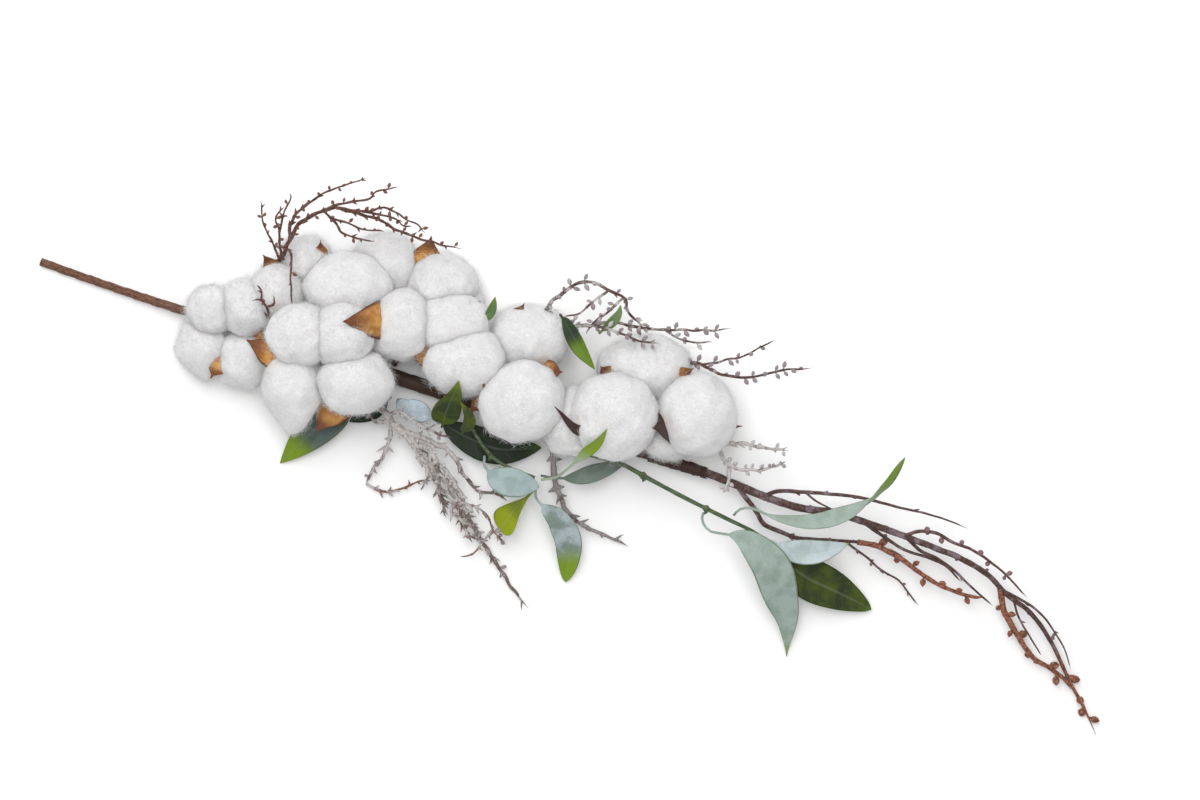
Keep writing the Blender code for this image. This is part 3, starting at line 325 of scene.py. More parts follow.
def stepped_route(points, step):
    """The smooth curve through a route, cut into four or more equal steps of about a length."""
    length = distances_along(smooth_route(points))[-1]
    return even_route(points, max(4, round(length / step)))


def spread(values, count):
    """A list of values stretched over a number of points, by straight lines."""
    return np.interp(np.linspace(0, len(values) - 1, count), range(len(values)), values)


def unit(vectors):
    return vectors / np.linalg.norm(vectors, axis=-1, keepdims=True)


def frames(route):
    """Unit tangents along a route, and two cross directions that twist as little as they can."""
    tangents = unit(np.gradient(route, axis=0))
    first = np.cross(tangents[0], UP)
    if np.linalg.norm(first) < 0.1:
        first = np.cross(tangents[0], (1.0, 0.0, 0.0))
    sides = [unit(first)]
    for tangent in tangents[1:]:
        sides.append(unit(sides[-1] - tangent * np.dot(sides[-1], tangent)))
    sides = np.array(sides)
    return tangents, sides, np.cross(tangents, sides)


def waves(points, size, seed, count=14):
    """A smooth random height over points: a sum of waves of about a size, in directions from a seed."""
    random = np.random.default_rng(seed)
    headings = unit(random.normal(size=(count, 3)))
    turns = headings * (2 * math.pi / size) * random.uniform(0.7, 1.4, (count, 1))
    starts = random.uniform(0, 2 * math.pi, count)
    return np.sin(points @ turns.T + starts).sum(axis=1) / math.sqrt(count)


@functools.lru_cache(maxsize=None)
def ring_faces(rings, sides):
    """Four-sided faces between the rings of a tube, and a fan of triangles over each end."""
    faces = []
    for ring in range(rings - 1):
        for side in range(sides):
            here = ring * sides + side
            beside = ring * sides + (side + 1) % sides
            faces.append((here, beside, beside + sides, here + sides))
    start, end = rings * sides, rings * sides + 1
    last = (rings - 1) * sides
    for side in range(sides):
        after = (side + 1) % sides
        faces.append((after, side, start))
        faces.append((last + side, last + after, end))
    return tuple(faces)


class Shape:
    """The vertices and faces of one piece, gathered from many closed forms, with shades on the vertices.

    A shade is a number for each vertex that a material reads by its name.
    """

    def __init__(self, *shades):
        self.points = []
        self.faces = []
        self.count = 0
        self.shades = {name: [] for name in shades}

    def add(self, points, faces, **shades):
        for face in faces:
            self.faces.append([index + self.count for index in face])
        self.points.append(points)
        self.count += len(points)
        for name, values in self.shades.items():
            values.append(np.broadcast_to(shades.get(name, 0.0), len(points)))

    def add_rings(self, rings, **shades):
        """A closed form from a stack of rings. A shade is one number, one a ring, or a grid of them."""
        count, sides, _ = rings.shape
        points = np.vstack([rings.reshape(-1, 3), rings[0].mean(axis=0), rings[-1].mean(axis=0)])
        values = {name: self.ring_shade(value, count, sides) for name, value in shades.items()}
        self.add(points, ring_faces(count, sides), **values)

    @staticmethod
    def ring_shade(value, count, sides):
        if np.ndim(value) == 1:
            value = np.reshape(value, (-1, 1))
        grid = np.broadcast_to(value, (count, sides))
        return np.concatenate([grid.ravel(), [grid[0].mean(), grid[-1].mean()]])

    def add_tube(self, route, radii, sides, **shades):
        """A closed tube, with one radius for each point of its route, or a grid of them."""
        _, across, other = frames(route)
        turns = np.linspace(0, 2 * math.pi, sides, endpoint=False)[None, :, None]
        circle = np.cos(turns) * across[:, None, :] + np.sin(turns) * other[:, None, :]
        radii = np.broadcast_to(np.reshape(radii, (len(route), -1)), (len(route), sides))
        self.add_rings(route[:, None, :] + radii[:, :, None] * circle, **shades)

    def add_blade(self, route, rolls, flat, height, **shades):
        """A closed blade along a route, from the sideways and outward places of its outline."""
        tangents = unit(np.gradient(route, axis=0))
        level = unit(np.cross(tangents, UP))
        rolls = np.radians(rolls)[:, None]
        sideways = level * np.cos(rolls) + np.cross(tangents, level) * np.sin(rolls)
        outward = unit(np.cross(sideways, tangents))
        middle = route[:, None]
        rings = middle + sideways[:, None] * flat[:, :, None] + outward[:, None] * height[:, :, None]
        self.add_rings(rings, **shades)

    def finish(self, name, material, slot, *nodes):
        """Makes the piece, in the place of one or more CAD nodes."""
        mesh = bpy.data.meshes.new(name)
        mesh.from_pydata((np.vstack(self.points) * MM).tolist(), [], self.faces)
        for shade, values in self.shades.items():
            layer = mesh.attributes.new(shade, "FLOAT", "POINT")
            layer.data.foreach_set("value", np.concatenate(values).astype(np.float32))
        mesh.shade_smooth()
        mesh.materials.append(material)
        piece = bpy.data.objects.new(name, mesh)
        bpy.context.scene.collection.objects.link(piece)
        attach(piece, BODY)
        if nodes:
            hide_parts(*nodes)


def linear(colour):
    """A colour of three screen values, in the linear values that a shader takes."""
    shares = [value / 255 for value in colour]
    parts = [share / 12.92 if share < 0.04 else ((share + 0.055) / 1.055) ** 2.4 for share in shares]
    return (*parts, 1.0)


class Graph:
    """The node tree of a new material, with short calls for the nodes that these looks need."""

    def __init__(self, name, **constants):
        self.material = bpy.data.materials.new(name)
        self.material.use_nodes = True
        self.tree = self.material.node_tree
        self.shader = self.tree.nodes["Principled BSDF"]
        for socket, value in constants.items():
            self.shader.inputs[socket.replace("_", " ")].default_value = value
        self.place = self.node("ShaderNodeTexCoord").outputs["Object"]

    def node(self, kind, inputs=None, **settings):
        made = self.tree.nodes.new(kind)
        for setting, value in settings.items():
            setattr(made, setting, value)
        for socket, value in (inputs or {}).items():
            self.set(made.inputs[socket], value)
        return made

    def set(self, socket, value):
        if isinstance(value, bpy.types.NodeSocket):
            self.tree.links.new(value, socket)
        else:
            socket.default_value = value

    def noise(self, size, detail=4.0, distortion=0.0, stretch=(1, 1, 1)):
        """Noise whose blotches are about a size in millimetres."""
        scaled = self.node("ShaderNodeMapping", {"Vector": self.place, "Scale": stretch}).outputs[0]
        inputs = {"Vector": scaled, "Scale": 1 / (size * MM), "Detail": detail, "Distortion": distortion}
        return self.node("ShaderNodeTexNoise", inputs).outputs["Fac"]

    def shade(self, name):
        return self.node("ShaderNodeAttribute", attribute_name=name).outputs["Fac"]

    def band(self, value, low, high, start=0.0, end=1.0):
        """Goes smoothly from start to end as a value goes from low to high."""
        inputs = {"Value": value, "From Min": low, "From Max": high, "To Min": start, "To Max": end}
        return self.node("ShaderNodeMapRange", inputs, interpolation_type="SMOOTHSTEP").outputs["Result"]

    def maths(self, operation, first, second):
        return self.node("ShaderNodeMath", {0: first, 1: second}, operation=operation).outputs[0]

    def times(self, first, second):
        return self.maths("MULTIPLY", first, second)

    def mix(self, factor, first, second):
        """Mixes two colours: each a socket, three screen values, or four linear ones."""
        colours = [linear(colour) if isinstance(colour, tuple) and len(colour) == 3 else colour
                   for colour in (first, second)]
        inputs = {0: factor, 6: colours[0], 7: colours[1]}
        return self.node("ShaderNodeMix", inputs, data_type="RGBA").outputs[2]

    def tint(self, value, low, high, first, second, most=1.0):
        """Goes from one colour towards another, by a share at most, as a value goes from low to high."""
        return self.mix(self.band(value, low, high, 0.0, most), first, second)

    def bumps(self, *layers):
        """A surface raised by layers of (height, greatest distance in millimetres, strength)."""
        normal = None
        for height, distance, strength in layers:
            inputs = {"Height": height, "Distance": distance * MM, "Strength": strength}
            if normal is not None:
                inputs["Normal"] = normal
            normal = self.node("ShaderNodeBump", inputs).outputs["Normal"]
        return normal

    def surface(self, colour, roughness, normal):
        self.set(self.shader.inputs["Base Color"], colour)
        self.set(self.shader.inputs["Roughness"], roughness)
        self.set(self.shader.inputs["Normal"], normal)
        return self.material


def cotton_material():
    """White lint, with painted shade: a little beige where two locks meet, and warmer and darker low on
    each lock.
    """
    graph = Graph("cotton_lint", Sheen_Weight=0.25, Sheen_Roughness=0.6, Specular_IOR_Level=0.1,
                  Subsurface_Weight=0.5, Subsurface_Scale=0.004)
    graph.shader.inputs["Subsurface Radius"].default_value = (1.0, 0.9, 0.85)
    puffs = graph.noise(9, detail=3)
    strands = graph.noise(1.6, detail=7, distortion=1.6)
    tufts = graph.noise(0.95, detail=6, distortion=1.2)
    fine = graph.noise(0.45, detail=4, distortion=0.8)
    white = graph.tint(puffs, 0.35, 0.7, (236, 236, 237), (232, 231, 231))
    white = graph.tint(strands, 0.52, 0.75, white, (216, 216, 219), most=0.15)
    white = graph.tint(tufts, 0.4, 0.65, white, (214, 213, 213), most=0.6)
    # Painted shade: beige where two locks meet, where shade falls in the crease.
    painted_crease_shade = graph.times(graph.shade("crease"), graph.band(strands, 0.3, 0.65, 0.05, 0.35))
    white = graph.mix(painted_crease_shade, white, (216, 208, 202))
    # Painted shade: warmer and darker low on each lock, where less light falls.
    white = graph.tint(graph.shade("low"), 0.3, 0.8, white, (212, 207, 203), most=0.6)
    normal = graph.bumps((strands, 0.6, 0.45), (tufts, 0.6, 0.6), (fine, 0.5, 0.7))
    return graph.surface(white, graph.band(fine, 0.3, 0.7, 0.9, 1.0), normal)


def fibre_material():
    """The loose fibres that stand out of the lint."""
    graph = Graph("cotton_fibre", Specular_IOR_Level=0.2, Sheen_Weight=0.2)
    tone = graph.noise(6, detail=2)
    white = graph.tint(tone, 0.35, 0.65, (238, 238, 239), (230, 229, 229))
    return graph.surface(white, graph.band(tone, 0.3, 0.7, 0.7, 0.9), graph.bumps((tone, 0.1, 0.2)))


# Frost covers the bark where a pattern of large patches and small grains is high enough.
FROST_PATCHES, FROST_GRAINS = 0.65, 0.35  # shares of the pattern
FROST_START = 0.62  # value of the pattern where frost of amount 0 would start
FROST_EDGE = 0.1  # and how much higher it has to be for full cover
FROST_GAIN = 0.3  # how much lower it may be for each unit of the amount
FROST_FADE = 0.35  # how much the fade takes off the pattern at the tip of a cane
RUST_LOSS = 0.12  # how much rust takes off it
RUST = (92, 54, 40), (156, 102, 78)
BARK_BROWN = (66, 46, 42), (104, 78, 70)
BARK_PALE = (92, 78, 74), (124, 108, 104)
BARK_TAIL = (62, 45, 42), (98, 72, 66)
GREY_FROST = (194, 190, 188)
LILAC_BUD = (146, 132, 138)
# twig: (dark and light bark, frost, how much of it, how much less of it at the tips, buds)
BARKS = {
    "arch_twig": (BARK_BROWN, (132, 116, 124), 0.4, 0.5, (116, 80, 70)),
    "crown_twig": (BARK_BROWN, GREY_FROST, 0.6, 0.2, LILAC_BUD),
    "side_twig": (BARK_BROWN, GREY_FROST, 0.4, 0.3, LILAC_BUD),
    "cascade_twig": (BARK_PALE, GREY_FROST, 1.2, 0.8, LILAC_BUD),
    "low_twig": (BARK_BROWN, (150, 145, 143), 1.15, 0.4, LILAC_BUD),
    "under_twig": (BARK_BROWN, GREY_FROST, 1.1, 0.4, LILAC_BUD),
    # On the tail the lilac in the frost's place is a painted sheen, not frost.
    "tail_twig": (BARK_TAIL, (134, 118, 126), 0.4, 0.1, (124, 100, 100)),
}


def bark_material(twig):
    """Streaked bark, with rust on some canes and a rough frost that fades towards the tips; on the tail,
    the lilac in the frost's place is a painted sheen.
    """
    (dark, light), frost, amount, fade, bud = BARKS[twig]
    graph = Graph("bark_" + twig.removesuffix("_twig"), Specular_IOR_Level=0.25)
    streaks = graph.noise(1.1, detail=5, distortion=0.6)
    patches = graph.noise(5, detail=4)
    grains = graph.noise(0.35, detail=3)
    bark = graph.tint(streaks, 0.38, 0.66, dark, light)
    bark = graph.mix(graph.shade("bud"), bark, bud)
    bark = graph.mix(graph.shade("rust"), bark, graph.tint(streaks, 0.35, 0.65, *RUST))
    cover = graph.maths("ADD", graph.times(patches, FROST_PATCHES), graph.times(grains, FROST_GRAINS))
    cover = graph.maths("SUBTRACT", cover, graph.times(graph.shade("along"), fade * FROST_FADE))
    cover = graph.maths("SUBTRACT", cover, graph.times(graph.shade("rust"), RUST_LOSS))
    start = FROST_START - FROST_GAIN * amount
    frosted = graph.band(cover, start, start + FROST_EDGE, 0, 0.9)
    dull_frost = (*[part / 2 for part in linear(frost)[:3]], 1.0)
    colour = graph.mix(frosted, bark, graph.tint(streaks, 0.3, 0.52, dull_frost, frost))
    normal = graph.bumps((streaks, 0.35, 0.7), (grains, 0.15, 0.6))
    return graph.surface(colour, graph.band(frosted, 0.0, 1.0, 0.55, 0.85), normal)


PALE, BLUISH = (164, 178, 172), (186, 198, 204)
# name: (green, its darker patches, bloom, how much of it, tip, share of the length where the tip starts)
LEAF_LOOKS = {
    "leaf_end_long": ((130, 146, 128), (108, 126, 104), PALE, 0.85, (104, 128, 50), 0.66),
    "leaf_end_broad": ((118, 138, 126), (96, 118, 104), PALE, 0.85, (118, 140, 66), 0.88),
    "leaf_end_small": ((148, 166, 160), (136, 156, 150), (196, 207, 212), 0.95, (140, 158, 70), 0.93),
    "leaf_end_dark": ((66, 82, 22), (40, 50, 18), PALE, 0.02, (84, 100, 34), 0.93),
    "leaf_mid_pale": ((124, 144, 140), (100, 120, 110), (166, 182, 184), 0.85, (140, 160, 90), 0.96),
    "leaf_mid_folded": ((138, 150, 28), (112, 126, 22), PALE, 0.04, (142, 156, 32), 0.5),
    "leaf_mid_hanging": ((66, 88, 60), (46, 66, 46), BLUISH, 0.75, (116, 142, 34), 0.62),
    "leaf_mid_raised": ((150, 166, 120), (130, 148, 100), PALE, 0.6, (124, 146, 36), 0.5),
    "leaf_mid_grey": ((84, 98, 84), (70, 84, 72), PALE, 0.35, (96, 110, 84), 0.9),
    "leaf_low_green": ((78, 92, 26), (48, 60, 18), PALE, 0.02, (110, 126, 40), 0.7),
    "leaf_low_bud": ((76, 90, 28), (54, 66, 22), PALE, 0.02, (108, 124, 40), 0.75),
    "leaf_low_pale": ((120, 134, 134), (84, 98, 92), (190, 202, 212), 0.95, (84, 98, 84), 0.92),
    "leaf_low_dark": ((34, 44, 26), (26, 35, 22), PALE, 0.03, (60, 78, 30), 0.82),
    "leaf_under_broad": ((46, 70, 50), (32, 52, 38), BLUISH, 0.2, (116, 142, 34), 0.55),
    "leaf_under_dark": ((38, 50, 34), (28, 38, 26), PALE, 0.04, (54, 70, 38), 0.9),
    "leaf_top_green": ((46, 66, 30), (34, 50, 26), PALE, 0.04, (98, 124, 38), 0.45),
    "leaf_top_light": ((110, 134, 66), (92, 116, 56), PALE, 0.2, (124, 148, 76), 0.8),
    "leaf_top_tip": ((84, 116, 44), (70, 100, 40), PALE, 0.1, (104, 132, 54), 0.7),
}
TIP_BLEND = 0.22  # share of a leaf's length over which its colour turns to the tip's


def leaf_material(leaf):
    """A waxy leaf: a pale bloom over green, lighter veins, and a tip and rim of their own colour."""
    green, darker, frost, amount, tip, tip_from = LEAF_LOOKS[leaf]
    graph = Graph(leaf + "_face", Specular_IOR_Level=0.15)
    blotches = graph.noise(7, detail=4)
    specks = graph.noise(0.6, detail=4)
    along, across = graph.shade("along"), graph.shade("across")
    bloom = graph.times(graph.band(blotches, 0.35, 0.6, 0.4, 1.0), amount)
    bloom = graph.times(bloom, graph.band(specks, 0.25, 0.6, 0.75, 1.0))
    face = graph.mix(bloom, graph.tint(blotches, 0.35, 0.65, green, darker), frost)
    near_tip = graph.band(along, tip_from, min(tip_from + TIP_BLEND, 1.0))
    face = graph.mix(graph.times(near_tip, graph.band(blotches, 0.2, 0.5, 0.75, 1.0)), face, tip)
    face = graph.mix(graph.times(graph.band(across, 0.88, 0.99), 0.4), face, tip)
    to_vein = graph.maths("PINGPONG", graph.shade("vein"), 0.5)
    lateral = graph.band(to_vein, 0.03, 0.12, 1.0, 0.0)
    lateral = graph.times(lateral, graph.band(blotches, 0.4, 0.6, 0.05, 0.25))
    midrib = graph.band(across, 0.03, 0.1, 1.0, 0.0)
    veins = graph.maths("MAXIMUM", lateral, graph.times(midrib, 0.8))
    pairs = zip(linear(frost), linear(green))
    vein_colour = tuple((light + 2 * plain) / 3 + 0.03 for light, plain in pairs)
    face = graph.mix(graph.times(veins, 0.3), face, vein_colour)
    normal = graph.bumps((veins, 0.25, 0.35), (specks, 0.12, 0.5))
    return graph.surface(face, graph.band(specks, 0.3, 0.7, 0.45, 0.65), normal)


def husk_material():
    """A dry burr: golden tan with fine ribs inside the valves, dark outside, red-brown along the rims."""
    graph = Graph("husk", Specular_IOR_Level=0.4)
    ribs = graph.noise(0.9, detail=5, distortion=0.8)
    stains = graph.noise(4, detail=4)
    inside, across, along = graph.shade("inside"), graph.shade("across"), graph.shade("along")
    tan = graph.tint(stains, 0.35, 0.7, (205, 152, 78), (165, 105, 48))
    tan = graph.tint(ribs, 0.5, 0.75, tan, (120, 68, 32), most=0.5)
    outer = graph.tint(ribs, 0.35, 0.7, (44, 30, 27), (76, 54, 46))
    body = graph.tint(inside, 0.35, 0.65, outer, tan)
    rim = graph.maths("MAXIMUM", graph.band(across, 0.7, 0.98), graph.band(along, 0.72, 0.95))
    rim_colour = graph.tint(inside, 0.35, 0.65, (48, 31, 27), (98, 48, 28))
    body = graph.mix(graph.times(rim, 0.9), body, rim_colour)
    return graph.surface(body, graph.band(ribs, 0.3, 0.7, 0.45, 0.7), graph.bumps((ribs, 0.35, 0.7)))


def tape_material(name, dark, light, sheen):
    """Crepe paper tape: wrinkled, with dark laps and a painted lilac sheen, and darker once some way
    along, partly from darker tape and partly as painted shade under the bolls.
    """
    graph = Graph(name, Specular_IOR_Level=0.2)
    wrinkles = graph.noise(0.7, detail=6, distortion=0.5, stretch=(0.35, 1, 1))
    patches = graph.noise(14, detail=3)
    along = graph.shade("along")
    # Painted highlight: a lilac sheen painted into the colour in patches, stronger along the stem.
    lilac = graph.times(graph.band(patches, 0.45, 0.65), graph.band(wrinkles, 0.4, 0.65, 0.2, 0.8))
    lilac = graph.times(lilac, graph.band(along, 0.1, 0.4, 0.3, 1.0))
    colour = graph.mix(lilac, graph.tint(wrinkles, 0.35, 0.65, dark, light), sheen)
    # Darker once some way along: partly darker tape, partly painted shade where the bolls lie over the
    # stem.
    colour = graph.tint(along, 0.2, 0.35, colour, (40, 31, 26), most=0.8)
    edge = graph.band(graph.shade("lap"), 0.0, 0.12, 1.0, 0.0)
    colour = graph.mix(graph.times(edge, 0.5), colour, dark)
    normal = graph.bumps((wrinkles, 0.3, 0.7))
    return graph.surface(colour, graph.band(wrinkles, 0.3, 0.7, 0.45, 0.7), normal)


def leaf_stem_material():
    """A green stem with long streaks and paler specks."""
    graph = Graph("leaf_stem", Specular_IOR_Level=0.25)
    streaks = graph.noise(1.0, detail=5, stretch=(0.3, 1, 1))
    specks = graph.noise(3, detail=4)
    green = graph.tint(streaks, 0.35, 0.65, (56, 70, 44), (88, 102, 72))
    green = graph.tint(specks, 0.55, 0.7, green, (110, 119, 104), most=0.6)
    return graph.surface(green, graph.band(streaks, 0.3, 0.7, 0.4, 0.6), graph.bumps((streaks, 0.2, 0.5)))


def floor_material():
    graph = Graph("pale_floor", Specular_IOR_Level=0.1)
    tone = graph.noise(120, detail=2)
    white = graph.mix(tone, (250, 250, 250), (248, 248, 248))
    return graph.surface(white, 0.9, graph.bumps((tone, 0.05, 0.1)))


LOCK_CUTS = 27  # cuts along each edge of the cube that a lock's surface grows from
LOCK_SOFTNESS = 7  # the higher, the sharper the crease between two locks
LOCK_PRESS = 2.4  # how far two locks press into each other
LOCK_PUFF = 0.5  # how far the lint swells past the plain solid
LUMPS = ((0.5, 14), (0.16, 6), (0.05, 2.4))  # height and size of the lint's lumps, from coarse to fine
CREASE_REACH = 3.0  # how near another lock the lint starts to be creased
LEAST_HEIGHT = 0.25  # clear height of the lint and its fibres over the floor
FLOOR_SOFTNESS = 0.3  # the higher, the rounder the lint where it meets the floor
FIBRES_PER_LOCK = 2800
FIBRE_RADIUS = 0.038
FIBRE_ROOT = 0.3  # depth of a fibre's root in the lint
STRAY_SHARE = 0.22  # share of the fibres that stand well out; the rest lie closer
STRAY_LENGTHS, LYING_LENGTHS = (2.5, 5), (1.8, 4)
STRAY_LIFT, LYING_LIFT = (0.3, 0.6), (0.08, 0.3)  # rise of a fibre, as a share of its length
DEEP_CREASE = 0.9  # the crease shade past which there are fewer fibres, and as what share of the others
CREASE_FIBRES = 0.4
FACING_DOWN = -0.6  # the upward part of a normal under which there are fewer, and as what share
UNDER_FIBRES = 0.25
# Locks drawn out to a point: its direction, how much narrower the lock gets there as a share of its
# width, and how many times as far the lock reaches.
DRAWN_OUT = {
    "boll_1_lock_3": ((0.4, -0.9, -0.1), 0.5, 1.1),
    "boll_3_lock_3": ((0.31, -0.95, -0.1), 0.5, 1.12),
}


@functools.lru_cache(maxsize=None)
def round_grid():
    """Directions evenly over a sphere, and the four-sided faces between them."""
    shape = bmesh.new()
    bmesh.ops.create_cube(shape, size=2.0)
    bmesh.ops.subdivide_edges(shape, edges=shape.edges, cuts=LOCK_CUTS, use_grid_fill=True)
    corners = np.array([vertex.co for vertex in shape.verts])
    faces = np.array([[vertex.index for vertex in face.verts] for face in shape.faces])
    shape.free()
    return unit(np.tan(corners * math.pi / 4)), faces


def ellipsoid_reach(lock, directions):
    """Distance from a lock's centre to its unpressed surface in each direction."""
    _, radii = LOCKS[lock]
    turn = math.radians(TURNED_LOCKS.get(lock, LOCK_HEADING))
    x = directions[..., 0] * math.cos(turn) + directions[..., 1] * math.sin(turn)
    y = directions[..., 1] * math.cos(turn) - directions[..., 0] * math.sin(turn)
    return ((x / radii[0]) ** 2 + (y / radii[1]) ** 2 + (directions[..., 2] / radii[2]) ** 2) ** -0.5


def lock_reach(lock, directions):
    """Distance to a lock's surface in each direction, flattened softly where other locks press on it."""
    centre = np.array(LOCKS[lock][0], float)
    closeness = ellipsoid_reach(lock, directions) ** -LOCK_SOFTNESS
    for other in LOCKS:
        if other == lock:
            continue
        apart = np.array(LOCKS[other][0], float) - centre
        span = np.linalg.norm(apart)
        own, theirs = ellipsoid_reach(lock, apart / span), ellipsoid_reach(other, -apart / span)
        if span < own + theirs:
            wall = span / 2 + (own**2 - theirs**2) / (2 * span) + LOCK_PRESS
            facing = np.clip(directions @ apart / span, 0, 1)
            closeness += (facing / wall) ** LOCK_SOFTNESS
    return closeness ** (-1 / LOCK_SOFTNESS)


def lock_surface(lock, seed):
    """The points of a lock's puffed and lumpy surface, in mm, and its faces."""
    directions, faces = round_grid()
    middle = np.array(LOCKS[lock][0], float)
    reach = lock_reach(lock, directions) + LOCK_PUFF
    smooth = middle + directions * reach[:, None]
    for index, (height, size) in enumerate(LUMPS):
        reach = reach + height * waves(smooth, size, seed + index)
    points = middle + directions * reach[:, None]
    if lock in DRAWN_OUT:
        points = drawn_out(points, middle, *DRAWN_OUT[lock])
    points[:, 2] = soft_floor(points[:, 2])
    return points, faces


def soft_floor(heights):
    """Heights kept a little above the floor, with no sharp edge where they meet it."""
    over = heights - LEAST_HEIGHT
    return LEAST_HEIGHT + (over + np.sqrt(over**2 + FLOOR_SOFTNESS)) / 2


def drawn_out(points, middle, direction, pinch, stretch):
    """Narrows one end of a lock and pulls it to a point."""
    axis = unit(np.array(direction))
    local = points - middle
    along = local @ axis
    share = np.clip(along / along.max(), 0, 1)[:, None]
    sideways = local - along[:, None] * axis
    forward = axis * along[:, None] * (1 + (stretch - 1) * share**3)
    return middle + forward + sideways * (1 - pinch * share**2)


def crease_shades(surfaces):
    """For each lock, how near each of its points is to another lock: 1 where they touch, 0 well clear."""
    shades = {}
    for node, (points, _) in surfaces.items():
        middle, size = points.mean(axis=0), np.ptp(points, axis=0).max()
        others = [other[0] for name, other in surfaces.items()
                  if name != node and np.linalg.norm(other[0].mean(axis=0) - middle) < 2 * size]
        near = np.vstack(others)
        tree = KDTree(len(near))
        for index, point in enumerate(near):
            tree.insert(point, index)
        tree.balance()
        gaps = np.array([tree.find(point)[2] for point in points])
        shades[node] = np.clip(1 - gaps / CREASE_REACH, 0, 1)
    return shades


def face_normals(points, faces):
    corners = points[faces]
    return unit(np.cross(corners[:, 2] - corners[:, 0], corners[:, 3] - corners[:, 1]))


def add_fibres(shape, points, faces, crease, seed):
    """Fine loose fibres that lie over a lock and lift away from it at their ends."""
    random = np.random.default_rng(seed)
    normals = face_normals(points, faces)
    open_faces = np.where(crease[faces].mean(axis=1) < DEEP_CREASE, 1.0, CREASE_FIBRES)
    weights = np.where(normals[:, 2] < FACING_DOWN, UNDER_FIBRES, 1.0) * open_faces
    chosen = random.choice(len(faces), FIBRES_PER_LOCK, p=weights / weights.sum())
    count = len(chosen)
    corners = points[faces[chosen]]
    starts = corners[:, 0] + random.uniform(0, 1, (count, 1)) * (corners[:, 2] - corners[:, 0])
    outward = normals[chosen]
    along = unit(np.cross(outward, random.normal(size=outward.shape)))
    stray = random.uniform(size=count) < STRAY_SHARE
    lengths = np.where(stray, random.uniform(*STRAY_LENGTHS, count), random.uniform(*LYING_LENGTHS, count))
    lift = np.where(stray, random.uniform(*STRAY_LIFT, count), random.uniform(*LYING_LIFT, count))
    bend = np.cross(outward, along) * random.normal(0, 0.25, (count, 1))
    lengths, lift = lengths[:, None], lift[:, None]
    roots = starts - outward * FIBRE_ROOT
    middles = starts + (along * 0.45 + bend * 0.5 + outward * lift * 0.7) * lengths
    tips = starts + (along * 0.9 + bend * 2 + outward * lift * 1.1) * lengths
    for places in (roots, middles, tips):
        places[:, 2] = np.maximum(places[:, 2], LEAST_HEIGHT)
    add_spindles(shape, roots, middles, tips)


def add_spindles(shape, roots, middles, tips):
    """Thin closed three-sided fibres, thickest in the middle, where they bend."""
    run = unit(tips - roots)
    across = unit(np.cross(run, UP + 0.01))
    other = np.cross(run, across)
    ring = [across, -0.5 * across + 0.87 * other, -0.5 * across - 0.87 * other]
    points = np.stack([roots, *(middles + FIBRE_RADIUS * part for part in ring), tips], axis=1)
    faces = [(0, 2, 1), (0, 3, 2), (0, 1, 3), (4, 1, 2), (4, 2, 3), (4, 3, 1)]
    every = [[5 * fibre + corner for corner in face] for fibre in range(len(points)) for face in faces]
    shape.add(points.reshape(-1, 3), every)


def make_cotton():
    """All the locks, with painted shade in their creases and low on their sides, and the loose fibres of
    each boll.
    """
    lint, loose = cotton_material(), fibre_material()
    nodes = sorted(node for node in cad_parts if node.startswith("boll_"))
    surfaces = {node: lock_surface(node, SEED + index) for index, node in enumerate(nodes)}
    creases = crease_shades(surfaces)
    for boll in range(1, len(BOLLS) + 1):
        fibres = Shape()
        for index, (node, (points, faces)) in enumerate(surfaces.items()):
            if not node.startswith(f"boll_{boll}_"):
                continue
            heights = points[:, 2]
            # How low each point sits on its lock, for the painted shade low on its sides.
            low = 1 - (heights - heights.min()) / np.ptp(heights)
            lock = Shape("crease", "low")
            # The crease shade carries the painted shade where locks meet, and also thins the fibres there.
            lock.add(points, faces.tolist(), crease=creases[node], low=low)
            lock.finish(node + "_lint", lint, "cotton", node)
            add_fibres(fibres, points, faces, creases[node], SEED + 100 + index)
        fibres.finish(f"boll_{boll}_fibres", loose, "cotton")


